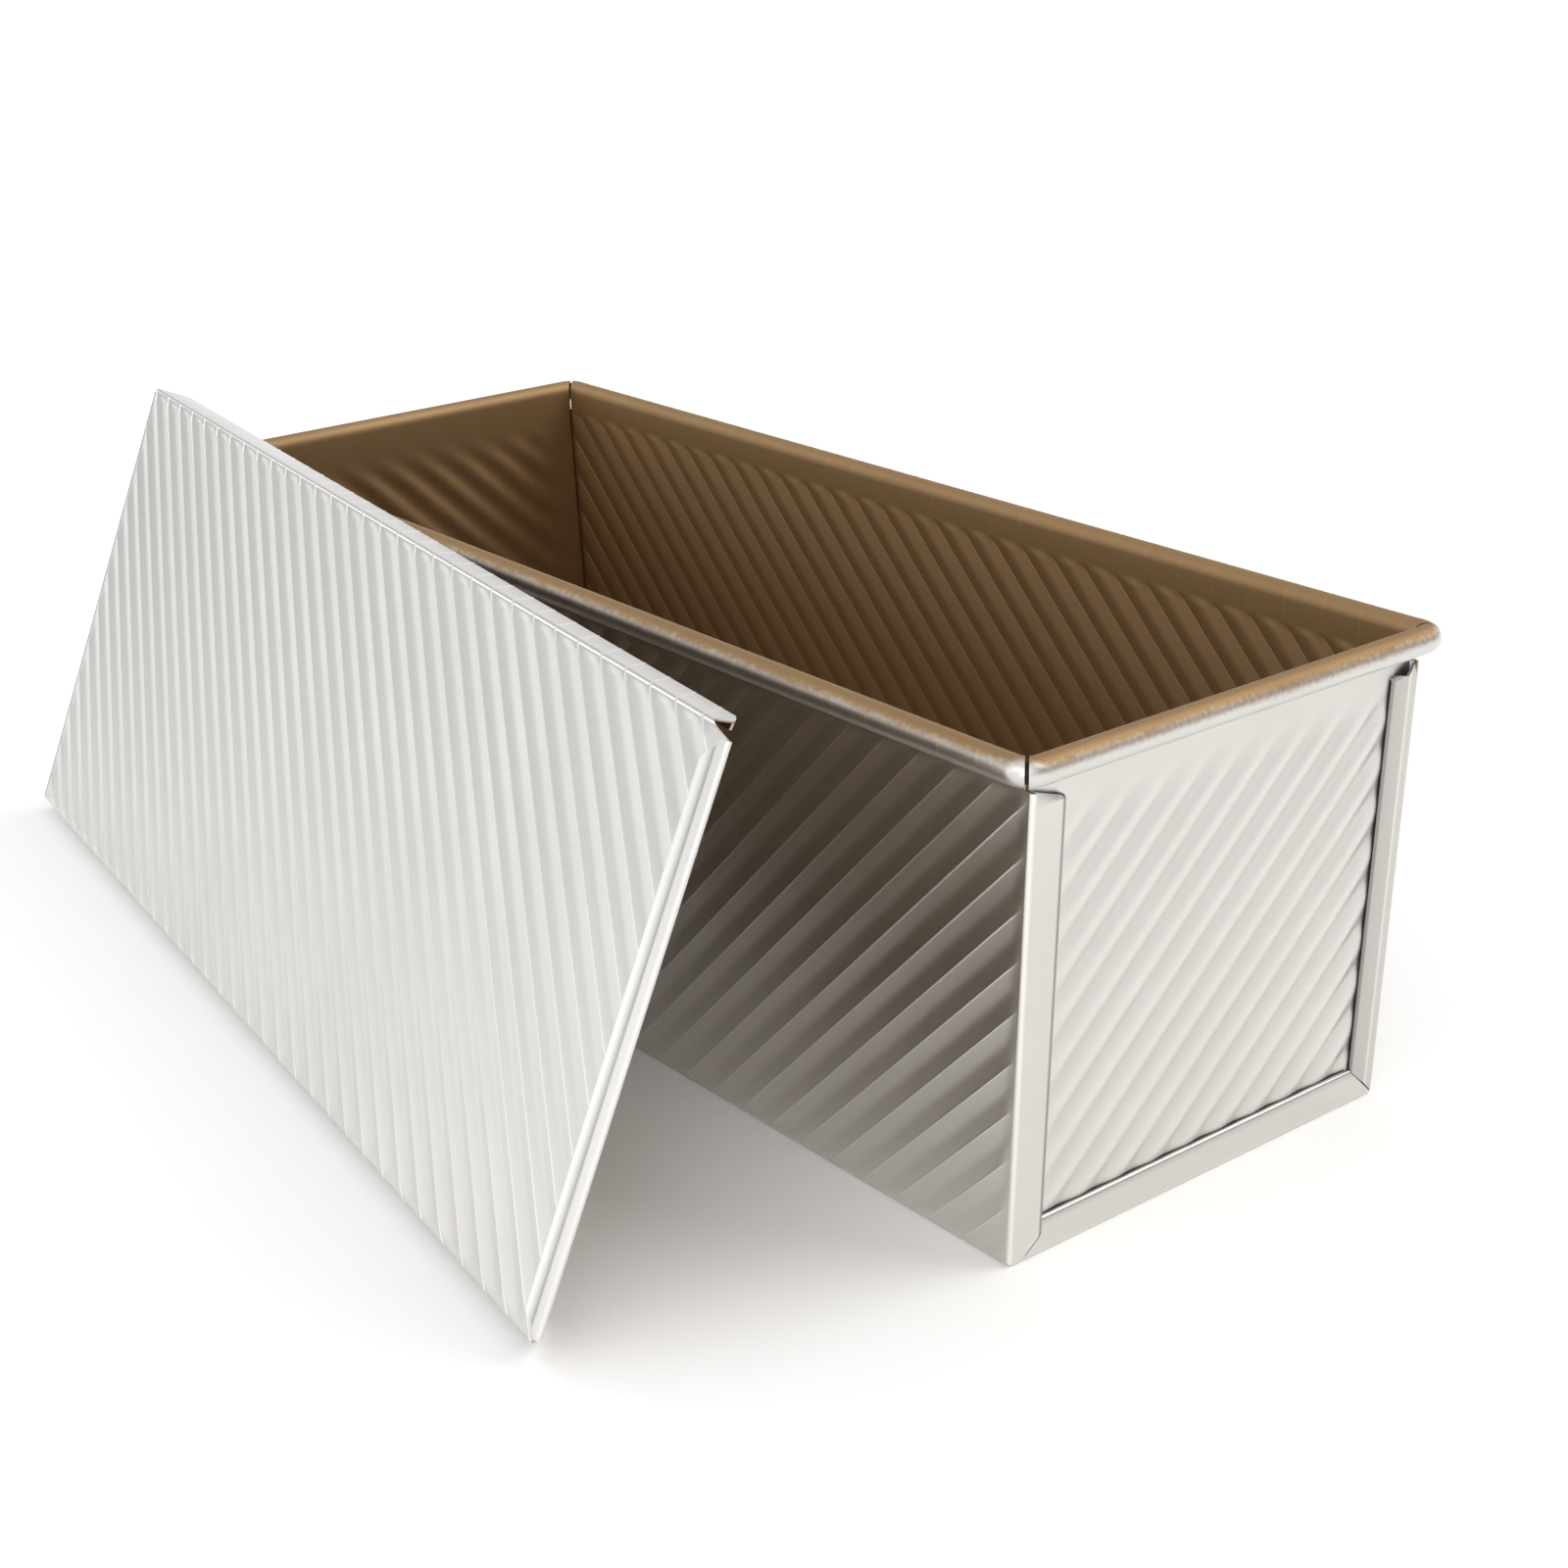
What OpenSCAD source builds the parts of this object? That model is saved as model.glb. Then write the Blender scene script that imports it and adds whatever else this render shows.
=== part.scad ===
// Corrugated loaf pan with a slide-on lid, millimetres.
// The origin is the centre of the pan's bottom face, X runs along the pan, Z is up.
// The lid stands beside the pan and leans on the rim's far corner.

/* [Pan] */
// Height from the table to the top of the rim bead
pan_h = 112; // [95:1:118]
// Length of the bottom over the end folds
base_len = 304; // [220:1:400]
// Width over the outside faces of the long walls
pan_w = 112; // [108:1:140]
// How far each end leans out over the whole height
end_lean = 6; // [2:0.5:12]
// Thickness of the sheet
sheet_t = 0.6; // [0.6:0.05:0.8]
// Outside radius of the folds
bend_r = 1.2; // [1:0.1:1.8]

/* [Rim] */
// Diameter of the wire inside the rim bead
wire_d = 4.7; // [3.5:0.1:5.5]
// Running space between the wire and the curl around it
wire_gap = 0.05; // [0.03:0.01:0.1]
// How much larger the bead's corner radius is than the bead itself
rim_corner_extra = 0.2; // [0.15:0.05:1]
// Width of the mitred slit in the rim at each corner
mitre_slit = 0.5; // [0.3:0.05:0.8]
// Height of the plain band between the ribs and the rim on the long walls
wall_band = 5.5; // [4:0.5:15]

/* [Corrugation] */
// Distance from one rib to the next, square to the ribs
rib_pitch = 7.4; // [6:0.1:12]
// Height of the ribs on the walls, the end panels and the lid
rib_depth = 0.9; // [0.4:0.05:1.1]
// Height of the flatter ribs on the bottom
base_rib_depth = 0.5; // [0.2:0.05:0.55]
// Angle of the ribs to the edges
rib_angle = 45; // [35:1:55]
// Where the first crest of the trough sheet lies, in pitches from the near corner
wall_rib_start = 0.4; // [0:0.05:1]
// Where the first crest of an end panel lies, in pitches from its lower near corner
end_rib_start = 0.2; // [0:0.05:1]
// Where the first crest of the lid lies, in pitches from its lower near corner
lid_rib_start = 0.28; // [0:0.02:1]

/* [End folds] */
// Width of the fold on the near long side's edge of each end
near_fold_w = 9; // [6:0.5:14]
// Width of the fold on the far long side's edge of each end
far_fold_w = 7.3; // [6:0.1:14]
// Width of the fold along the bottom edge of each end
base_fold_w = 8.1; // [6:0.1:14]
// How far the folds stand proud of the end panel
fold_proud = 2; // [1.8:0.1:3]
// Clearance of an end panel inside the trough and the folds
panel_gap = 0.1; // [0.05:0.05:0.2]
// Space between a fold's turned-back edge and the end panel
lip_gap = 0.3; // [0.2:0.05:0.5]
// Height of the plain band between the ribs and the rim on an end panel
end_band = 11; // [8:0.5:25]

/* [Lid] */
// How much longer the lid is than the rim
lid_extra_len = 15.5; // [8:0.5:30]
// Running space between the rim and each side of the lid
lid_side_gap = 0.5; // [0.3:0.1:1.5]
// Depth of the lid's channels over the sheet
channel_d = 11; // [9.5:0.1:14]
// Width of the lip that hooks under the rim bead
channel_lip = 3.3; // [2.5:0.1:4.5]
// Width of the hem folded over the near end
hem_w = 8; // [6:0.5:12]
// Depth of the turned-down far end
far_drop = 9; // [6:0.5:9]

/* [Lid pose] */
// Angle between the lid and the pan's length, seen from above
lid_yaw = 8.5; // [4:0.5:15]
// How far the lid reaches past the rim's far corner
lid_past_corner = 53; // [20:1:90]
// Space between the leaning lid and the rim it leans on
lean_gap = 0.3; // [0.3:0.05:0.6]

/* [Hidden] */
$fn = 64;
end_angle = atan(end_lean / pan_h);
bead_r = wire_d / 2 + wire_gap + sheet_t;
bead_z = pan_h - bead_r;
rim_corner_r = bead_r + rim_corner_extra;
// The bead hangs outside the sheet that it is rolled from.
bead_out = bead_r - sheet_t;
rim_y = pan_w / 2 + bead_out;
rim_x = base_len / 2 + bead_z * tan(end_angle) + (bead_out - fold_proud) / cos(end_angle);
corner_x = rim_x - rim_corner_r;
corner_y = rim_y - rim_corner_r;
// The curl's free edge stops this far short of a full turn, clear of the wall.
curl_open = 46;
// The curl runs down into its wall by this angle, so that the two are one sheet.
curl_join = 1;
edge_clear = sheet_t * 1.4;
// The end folds and the square corner stop here, and the mitred rim begins.
mitre_z = bead_z - bead_r - bend_r * 1.6;
fold_top_drop = bend_r * 2;
wall_rib_z0 = bend_r + edge_clear;
wall_rib_z1 = bead_z - wall_band;
wall_rib_margin = fold_proud + sheet_t + edge_clear;
base_rib_margin_x = fold_proud + sheet_t + bend_r + 2 * edge_clear;
base_rib_margin_y = bend_r * 2 + 2 * edge_clear;
panel_rib_margin = sheet_t / 1.5;
seam_w = sheet_t / 2;
steps = 6;
// Cutting shapes and bars run past the pan by these lengths.
spare = pan_h / 4;
reach = 3 * base_len;
overlap = sheet_t;

rim_len = 2 * (rim_x + bead_r);
rim_w = 2 * (rim_y + bead_r);
lid_len = rim_len + lid_extra_len;
lid_w = rim_w + 2 * (lid_side_gap + sheet_t);
hem_gap = sheet_t / 4;
hem_r = sheet_t + hem_gap / 2;
hem_mid = -hem_gap / 2;
// The channels are cut back here at the near end so that the lid starts easily on the rim.
entry_cut = hem_w + bend_r * 1.2;
entry_slope = channel_d * 0.7;
// The sheet's own corners are snipped by about this much before the hem is folded.
snip = bend_r * 2.1;
end_slit = sheet_t * 1.5;

// The lid leans until the lip of its upper channel just clears the top of the rim.
lean_a = lid_w - channel_lip - bend_r;
lean_c = pan_h + lean_gap - bend_r;
lean_len = sqrt(lean_a * lean_a + bend_r * bend_r);
lid_hooks = lean_c < lean_len * sin(79);
hook_lean = asin(min(lean_c / lean_len, 1)) + atan(bend_r / lean_a);
lid_lean = lid_hooks ? hook_lean : 80;
// A lid too narrow to reach over the rim stands outside it instead.
stand_off = lid_hooks ? sheet_t + rib_depth / 2 : channel_d;
lid_foot_z = (channel_d - bend_r) * cos(lid_lean) + bend_r * (1 - sin(lid_lean));
corner_d = stand_off + bead_r + lean_gap + rim_corner_r * sin(lid_lean);
corner_up = (bead_z - lid_foot_z + corner_d * cos(lid_lean)) / sin(lid_lean);
corner_along = lid_len - lid_past_corner;

silver = [0.80, 0.79, 0.77];
pale_silver = [0.86, 0.86, 0.85];
steel = [0.55, 0.54, 0.52];

// Points on an arc, or the bare corner when the radius is too small to matter
function arc(cx, cy, r, from, to) = r > 0.15
    ? [for (i = [0 : steps]) [cx + r * cos(from + (to - from) * i / steps),
                              cy + r * sin(from + (to - from) * i / steps)]]
    : [[cx, cy]];

function backwards(list) = [for (i = [len(list) - 1 : -1 : 0]) list[i]];

// X of the leaning end plane at height z, moved inwards by inset
function end_x(z, inset) = base_len / 2 + z * tan(end_angle) - inset / cos(end_angle);

// The trough's outline from the top of one wall to the top of the other
function trough_line(inset, top) =
    let (y = pan_w / 2 - inset, r = max(bend_r - inset, 0))
    concat([[y, top]],
           arc(y - r, inset + r, r, 0, -90),
           arc(-y + r, inset + r, r, -90, -180),
           [[-y, top]]);

// Rib height above the middle of the sheet at step i, sharp crests with round valleys
function scallop(i, depth) = depth * (0.5 - abs(sin(180 * i / steps)));
function wave(i, depth) = depth * 0.5 * cos(360 * i / steps);

module along_x(length) {
    translate([-length / 2, 0, 0])
        rotate([90, 0, 90])
            linear_extrude(length)
                children();
}

module along_y(from, to) {
    translate([0, to, 0])
        rotate([90, 0, 0])
            linear_extrude(to - from)
                children();
}

// Everything between the two leaning end planes
module between_ends(inset) {
    low = -spare;
    high = pan_h + spare;
    along_y(-reach / 2, reach / 2)
        polygon([[-end_x(low, inset), low], [end_x(low, inset), low],
                 [end_x(high, inset), high], [-end_x(high, inset), high]]);
}

// A leaning slab at the +X end, between two depths behind the end plane
module end_slab(outer, inner) {
    low = -spare;
    high = pan_h + spare;
    along_y(-reach / 2, reach / 2)
        polygon([[end_x(low, inner), low], [end_x(low, outer), low],
                 [end_x(high, outer), high], [end_x(high, inner), high]]);
}

// A corrugated sheet in its own plane: outer side towards +Z, first crest at start pitches
// along the turned X axis, sharp crests unless soft is set
module rib_sheet(turn, start, depth, low, high, soft = false) {
    first = floor(low / rib_pitch - start) * steps;
    last = ceil(high / rib_pitch - start) * steps;
    line = [for (i = [first : last])
        [rib_pitch * (i / steps + start), soft ? wave(i, depth) : scallop(i, depth)]];
    rotate([0, 0, turn])
        rotate([90, 0, 0])
            linear_extrude(reach, center = true)
                polygon(concat([for (p = line) [p[0], p[1] + sheet_t / 2]],
                               [for (p = backwards(line)) [p[0], p[1] - sheet_t / 2]]));
}

// The part of a long wall that is ribbed
module wall_field() {
    along_y(-pan_w / 2 - rib_depth - sheet_t, -pan_w / 2 + rib_depth + 2 * sheet_t)
        polygon([[-end_x(wall_rib_z0, wall_rib_margin), wall_rib_z0],
                 [end_x(wall_rib_z0, wall_rib_margin), wall_rib_z0],
                 [end_x(wall_rib_z1, wall_rib_margin), wall_rib_z1],
                 [-end_x(wall_rib_z1, wall_rib_margin), wall_rib_z1]]);
}

module base_field() {
    x = base_len / 2 - base_rib_margin_x;
    y = pan_w / 2 - base_rib_margin_y;
    deep = base_rib_depth + 2 * sheet_t;
    translate([-x, -y, -sheet_t])
        cube([2 * x, 2 * y, deep + sheet_t]);
}

module trough() {
    difference() {
        intersection() {
            along_x(reach)
                polygon(concat(trough_line(0, mitre_z), backwards(trough_line(sheet_t, mitre_z))));
            between_ends(0);
        }
        wall_field();
        mirror([0, 1, 0])
            wall_field();
        base_field();
    }
}

module near_wall_ribs() {
    intersection() {
        wall_field();
        translate([base_len / 2, -(pan_w - sheet_t) / 2, 0])
            rotate([90, 0, 0])
                rib_sheet(180 - rib_angle, wall_rib_start, rib_depth, -rib_pitch,
                          (base_len + end_lean) * cos(rib_angle) + pan_h * sin(rib_angle));
    }
}

// The ribs run on round the trough, so the far wall's start follows from the sheet's width.
module far_wall_ribs() {
    start = wall_rib_start + pan_w * sin(rib_angle) / rib_pitch;
    intersection() {
        mirror([0, 1, 0])
            wall_field();
        translate([base_len / 2, (pan_w - sheet_t) / 2, 0])
            rotate([90, 0, 180])
                rib_sheet(-rib_angle, start - floor(start), rib_depth,
                          -(pan_h * sin(rib_angle) + rib_pitch),
                          (base_len + end_lean) * cos(rib_angle) + rib_pitch);
    }
}

// The bottom's crests are level with its plain margin, so both rest on the table.
module base_ribs() {
    intersection() {
        base_field();
        translate([base_len / 2, -pan_w / 2, (sheet_t + base_rib_depth) / 2])
            rotate([180, 0, 0])
                rib_sheet(180 - rib_angle, wall_rib_start, base_rib_depth,
                          -(pan_w * sin(rib_angle) + rib_pitch),
                          base_len * cos(rib_angle) + rib_pitch);
    }
}

// The folds around one end, seen along X: outline minus the window that shows the panel
module fold_frame_outline() {
    near_y = -pan_w / 2;
    far_y = pan_w / 2;
    low_top = mitre_z - fold_top_drop;
    difference() {
        polygon(trough_line(0, mitre_z));
        polygon([[near_y + near_fold_w, base_fold_w], [far_y - far_fold_w, base_fold_w],
                 [far_y - far_fold_w, low_top], [far_y - far_fold_w / 2, low_top],
                 [far_y, mitre_z], [far_y, mitre_z + spare], [near_y, mitre_z + spare],
                 [near_y, mitre_z], [near_y + near_fold_w, low_top]]);
    }
}

// The edges of the folds, turned back towards the panel
module fold_lip_outline() {
    near_y = -pan_w / 2 + near_fold_w;
    far_y = pan_w / 2 - far_fold_w;
    low_top = mitre_z - fold_top_drop;
    polygon([[near_y - sheet_t, low_top], [near_y, low_top],
             [near_y, base_fold_w], [far_y, base_fold_w],
             [far_y, low_top], [far_y + sheet_t, low_top],
             [far_y + sheet_t, base_fold_w - sheet_t], [near_y - sheet_t, base_fold_w - sheet_t]]);
}

// The slanted seams where the upright folds meet the bottom fold
module fold_seams() {
    past = 2 * seam_w;
    near = [-pan_w / 2 + near_fold_w, base_fold_w];
    far = [pan_w / 2 - far_fold_w, base_fold_w];
    near_foot = [-pan_w / 2 + 2 * bend_r, 2 * bend_r];
    far_foot = [pan_w / 2 - 2 * bend_r, 2 * bend_r];
    along_x(reach) {
        polygon([near + [past, past - seam_w], near + [past - seam_w, past],
                 near_foot + [-seam_w / 2, seam_w / 2], near_foot + [seam_w / 2, -seam_w / 2]]);
        polygon([far + [-past, past - seam_w], far + [seam_w - past, past],
                 far_foot + [seam_w / 2, seam_w / 2], far_foot + [-seam_w / 2, -seam_w / 2]]);
    }
}

module end_folds() {
    difference() {
        union() {
            intersection() {
                along_x(reach)
                    fold_frame_outline();
                end_slab(0, sheet_t);
            }
            intersection() {
                along_x(reach)
                    fold_lip_outline();
                end_slab(0, fold_proud - lip_gap);
            }
        }
        fold_seams();
    }
}

// One bead in section: the sheet's wall comes up on the left, the curl closes over the right
module curl_section() {
    difference() {
        circle(bead_r);
        circle(bead_out);
        polygon([[0, 0], [-2 * bead_r, -2 * bead_r * tan(curl_join)],
                 [-2 * bead_r, -2 * bead_r * tan(curl_open)]]);
    }
}

// A quarter turn of the section at the rim's +X +Y corner
module rim_corner() {
    translate([corner_x, corner_y, bead_z])
        rotate_extrude(angle = 90)
            translate([rim_corner_r, 0])
                children();
}

module long_bead() {
    translate([0, rim_y, bead_z])
        along_x(2 * corner_x)
            children();
}

module end_bead() {
    translate([rim_x, 0, bead_z])
        along_y(-corner_y, corner_y)
            children();
}

// Plan of the rim that belongs to the +Y wall, up to the middle of the mitred slits
module long_share() {
    slit = mitre_slit * sin(45);
    translate([0, 0, mitre_z - overlap])
        linear_extrude(pan_h)
            polygon([[corner_x + spare, corner_y + spare + slit], [corner_x - corner_y, slit],
                     [corner_y - corner_x, slit], [-corner_x - spare, corner_y + spare + slit]]);
}

module end_share() {
    slit = mitre_slit * sin(45);
    translate([0, 0, mitre_z - overlap])
        linear_extrude(pan_h)
            polygon([[corner_x + spare, corner_y + spare - slit], [corner_x - corner_y, -slit],
                     [corner_x - corner_y, slit], [corner_x + spare, slit - corner_y - spare]]);
}

// The top of the +Y wall with its curl
module wall_top() {
    intersection() {
        union() {
            translate([-corner_x, pan_w / 2 - sheet_t, mitre_z - overlap])
                cube([2 * corner_x, sheet_t, bead_z - mitre_z + overlap]);
            long_bead()
                curl_section();
            rim_corner()
                curl_section();
            mirror([1, 0, 0])
                rim_corner()
                    curl_section();
        }
        long_share();
    }
}

module body_sheet() {
    color(silver)
        union() {
            trough();
            near_wall_ribs();
            far_wall_ribs();
            base_ribs();
            end_folds();
            rotate([0, 0, 180])
                end_folds();
            wall_top();
            mirror([0, 1, 0])
                wall_top();
        }
}

// The ribbed part of an end panel, seen along X
module panel_field(thick) {
    y0 = -pan_w / 2 + near_fold_w + panel_rib_margin;
    y1 = pan_w / 2 - far_fold_w - panel_rib_margin;
    z0 = base_fold_w + panel_rib_margin;
    z1 = bead_z - end_band;
    intersection() {
        along_x(reach)
            polygon([[y0, z0], [y1, z0], [y1, z1], [y0, z1]]);
        end_slab(fold_proud - thick, fold_proud + sheet_t + thick);
    }
}

module panel_ribs() {
    intersection() {
        panel_field(rib_depth);
        translate([base_len / 2, -pan_w / 2, 0])
            rotate([0, end_angle, 0])
                translate([-fold_proud - sheet_t / 2, 0, 0])
                    rotate([90, 0, 90])
                        rib_sheet(-rib_angle, end_rib_start, rib_depth,
                                  -(pan_h * sin(rib_angle) + rib_pitch),
                                  pan_w * cos(rib_angle) + rib_pitch, true);
    }
}

// The panel below the mitred rim, with its edges turned out under the folds
module panel_plate() {
    fit = sheet_t + panel_gap;
    difference() {
        union() {
            intersection() {
                along_x(reach)
                    polygon(trough_line(fit, mitre_z));
                end_slab(fold_proud, fold_proud + sheet_t);
            }
            intersection() {
                along_x(reach)
                    polygon(concat(trough_line(fit, mitre_z),
                                   backwards(trough_line(fit + sheet_t, mitre_z))));
                end_slab(fit, fold_proud + sheet_t);
            }
        }
        panel_field(rib_depth);
    }
}

module panel_top() {
    panel_half = pan_w / 2 - sheet_t - panel_gap;
    intersection() {
        union() {
            intersection() {
                translate([0, -panel_half, mitre_z - overlap])
                    cube([reach, 2 * panel_half, bead_z - mitre_z + overlap]);
                end_slab(fold_proud, fold_proud + sheet_t);
            }
            end_bead()
                curl_section();
            rim_corner()
                curl_section();
            mirror([0, 1, 0])
                rim_corner()
                    curl_section();
        }
        end_share();
    }
}

module end_panel() {
    panel_plate();
    panel_ribs();
    panel_top();
}

module near_end_panel() {
    color(pale_silver)
        end_panel();
}

// The far panel is the same sheet turned round, seen the same way from its own outside.
module far_end_panel() {
    color(pale_silver)
        rotate([0, 0, 180])
            end_panel();
}

module rim_wire() {
    color(steel)
        for (side = [0, 1])
            mirror([0, side, 0]) {
                long_bead()
                    circle(wire_d / 2);
                rim_corner()
                    circle(wire_d / 2);
                mirror([1, 0, 0])
                    rim_corner()
                        circle(wire_d / 2);
                rotate([0, 0, 180 * side])
                    end_bead()
                        circle(wire_d / 2);
            }
}

// The lid lies in its own frame: X from the near end, Y up from the floor edge,
// Z from its outer face towards the pan.

// The lid across its width: face, two flanges and two lips
module lid_section() {
    r = bend_r;
    q = bend_r - sheet_t;
    polygon(concat([[channel_lip, channel_d]],
                   arc(r, channel_d - r, r, 90, 180),
                   arc(r, r, r, 180, 270),
                   arc(lid_w - r, r, r, 270, 360),
                   arc(lid_w - r, channel_d - r, r, 0, 90),
                   [[lid_w - channel_lip, channel_d], [lid_w - channel_lip, channel_d - sheet_t]],
                   arc(lid_w - r, channel_d - r, q, 90, 0),
                   arc(lid_w - r, r, q, 360, 270),
                   arc(r, r, q, 270, 180),
                   arc(r, channel_d - r, q, 180, 90),
                   [[channel_lip, channel_d - sheet_t]]));
}

module lid_field() {
    x0 = hem_w + edge_clear;
    x1 = lid_len - bend_r - edge_clear;
    y0 = bend_r + edge_clear;
    deep = rib_depth + sheet_t;
    translate([x0, y0, -deep])
        cube([x1 - x0, lid_w - 2 * y0, 2 * deep + sheet_t]);
}

module lid_ribs() {
    intersection() {
        lid_field();
        translate([0, 0, sheet_t / 2])
            rotate([180, 0, 0])
                rib_sheet(rib_angle, lid_rib_start, rib_depth,
                          -(lid_w * sin(rib_angle) + rib_pitch),
                          lid_len * cos(rib_angle) + rib_pitch);
    }
}

// The near end's hem along the lid: the sheet turns back over the outer face
module hem_section() {
    polygon(concat([[hem_r + overlap, sheet_t]],
                   [for (i = [0 : 2 * steps]) [hem_r - hem_r * sin(90 * i / steps),
                                               hem_mid + hem_r * cos(90 * i / steps)]],
                   [[hem_w, hem_mid - hem_r], [hem_w, -hem_gap], [hem_r, -hem_gap],
                    [hem_r - hem_gap / 2, hem_mid], [hem_r, 0], [hem_r + overlap, 0]]));
}

module lid_hem() {
    deep = 3 * hem_r;
    intersection() {
        along_y(0, lid_w)
            hem_section();
        translate([0, 0, -deep])
            linear_extrude(2 * deep)
                polygon([[-hem_r, snip * 0.9], [hem_w * 0.3, snip * 1.1], [hem_w * 0.72, snip * 1.9],
                         [hem_w + hem_r, snip * 2.3], [hem_w + hem_r, lid_w - entry_cut],
                         [hem_w * 0.3, lid_w - snip], [-hem_r, lid_w - snip]]);
    }
}

// The far end turned down between the channels
module lid_far_end() {
    r = bend_r;
    q = bend_r - sheet_t;
    along_y(end_slit, lid_w - end_slit)
        polygon(concat([[lid_len - r - overlap, 0]],
                       arc(lid_len - r, r, r, 270, 360),
                       [[lid_len, far_drop], [lid_len - sheet_t, far_drop]],
                       arc(lid_len - r, r, q, 0, -90),
                       [[lid_len - r - overlap, sheet_t]]));
}

// Material cut away at the near corners before the sheet is folded
module lid_corner_cuts() {
    past = bend_r;
    deep = 3 * hem_r;
    translate([0, 0, -deep])
        linear_extrude(2 * deep)
            polygon([[-past, lid_w + past], [entry_cut - bend_r, lid_w + past],
                     [entry_cut - bend_r, lid_w], [entry_cut - 2 * bend_r, lid_w - snip * 0.5],
                     [hem_w * 0.5, lid_w - snip * 0.7], [hem_w * 0.2, lid_w - snip * 0.9],
                     [-past, lid_w - snip]]);
    translate([0, 0, -deep])
        linear_extrude(2 * deep)
            polygon([[-past, -past], [hem_w * 0.8, -past], [hem_w * 0.8, 0],
                     [hem_w * 0.65, snip * 0.25], [0, snip * 0.8], [-past, snip]]);
    // The upper channel starts further back than the lower one.
    along_y(lid_w - channel_lip - past, lid_w + past)
        polygon([[-past, bend_r], [entry_cut, bend_r], [entry_cut + bend_r, channel_d * 0.6],
                 [entry_cut + entry_slope, channel_d + past], [-past, channel_d + past]]);
    along_y(-past, channel_lip + past)
        polygon([[-past, bend_r], [hem_w * 0.65, bend_r], [hem_w * 0.7, channel_d * 0.25],
                 [entry_cut + bend_r, channel_d * 0.6], [entry_cut + entry_slope, channel_d + past],
                 [-past, channel_d + past]]);
}

module lid_flat() {
    difference() {
        union() {
            difference() {
                translate([hem_r, 0, 0])
                    rotate([90, 0, 90])
                        linear_extrude(lid_len - hem_r)
                            lid_section();
                translate([lid_len - bend_r, end_slit, -sheet_t])
                    cube([2 * bend_r, lid_w - 2 * end_slit, channel_d - bend_r]);
                lid_field();
            }
            lid_far_end();
            lid_hem();
            lid_ribs();
        }
        lid_corner_cuts();
    }
}

module lid_sheet() {
    color(pale_silver)
        translate([-corner_x, -corner_y, bead_z])
            rotate([180 - lid_lean, 0, 180 - lid_yaw])
                translate([-corner_along, -corner_up, -corner_d])
                    lid_flat();
}

body_sheet();
near_end_panel();
far_end_panel();
rim_wire();
lid_sheet();
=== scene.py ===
"""Looks of a corrugated loaf pan with a slide-on lid, built around its fixed CAD frame.

Each sheet piece starts as flat blanks that are cut along their creases, folded by a section
line and given their corrugation and thickness by a Geometry Nodes tree. Sizes are in
millimetres and degrees. Only the node trees, the studio and the finished meshes are in metres.
"""

import logging
import math
from collections import defaultdict
from dataclasses import dataclass, field, replace
from enum import Enum
from typing import Callable, ClassVar, Self, Sequence

import bpy
import numpy as np
from mathutils import Matrix, Vector
from mathutils.geometry import delaunay_2d_cdt


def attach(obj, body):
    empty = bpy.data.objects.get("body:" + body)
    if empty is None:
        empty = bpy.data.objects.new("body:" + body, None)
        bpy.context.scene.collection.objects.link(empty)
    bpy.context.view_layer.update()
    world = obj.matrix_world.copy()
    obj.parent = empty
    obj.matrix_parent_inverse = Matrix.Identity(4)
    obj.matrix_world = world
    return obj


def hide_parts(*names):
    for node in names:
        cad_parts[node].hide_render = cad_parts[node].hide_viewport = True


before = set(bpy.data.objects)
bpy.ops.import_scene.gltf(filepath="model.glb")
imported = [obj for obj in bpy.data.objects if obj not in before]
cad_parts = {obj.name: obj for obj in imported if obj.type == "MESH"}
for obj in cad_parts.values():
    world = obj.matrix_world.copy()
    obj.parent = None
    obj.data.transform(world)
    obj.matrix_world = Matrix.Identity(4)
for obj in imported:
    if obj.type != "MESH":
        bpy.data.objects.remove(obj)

LOG = logging.getLogger("loaf_pan")
MM = 0.001
ROOT2 = math.sqrt(2.0)
SMOOTH_BELOW = 50.0

Pair = tuple[float, float]
Triple = tuple[float, float, float]
Colour = tuple[float, float, float, float]
Steps = tuple[float, ...]
Array = np.ndarray
Fold = Callable[[Array, Array], tuple[Array, Array]]
Field = Callable[[Array, Array], Array]


class RibShape(Enum):
    """How the corrugation runs between its crests."""

    CREASED = 0.0
    WAVY = 1.0


class Turn(Enum):
    """Which end of the pan an end piece belongs to."""

    NEAR = "near"
    FAR = "far"


class Edge(Enum):
    """Which edge of an end a strip frames, as its side of the pan or 0 for the foot."""

    NEAR = -1.0
    BASE = 0.0
    FAR = 1.0


class Flat(Enum):
    """The two coordinates of a flat blank."""

    U = 0
    V = 1


# Section lines


def columns(*parts: Array | float) -> Array:
    """Puts coordinates side by side, one row for each point."""
    return np.stack(np.broadcast_arrays(*parts), 1)


@dataclass(frozen=True)
class Arc:
    """A round stretch of a section line, drawn from one angle to another."""

    centre: Pair
    radius: float
    start: float
    end: float
    step: float = 15.0

    def sample(self) -> tuple[Array, Array]:
        """Walks the arc.

        Returns:
            Points along the arc and the directions of travel there.
        """
        count = max(2, int(math.ceil(abs(self.end - self.start) / self.step)) + 1)
        angles = np.radians(np.linspace(self.start, self.end, count))
        spokes = columns(np.cos(angles), np.sin(angles))
        sign = 1.0 if self.end > self.start else -1.0
        return np.array(self.centre) + spokes * self.radius, spokes[:, ::-1] * [-sign, sign]


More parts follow.
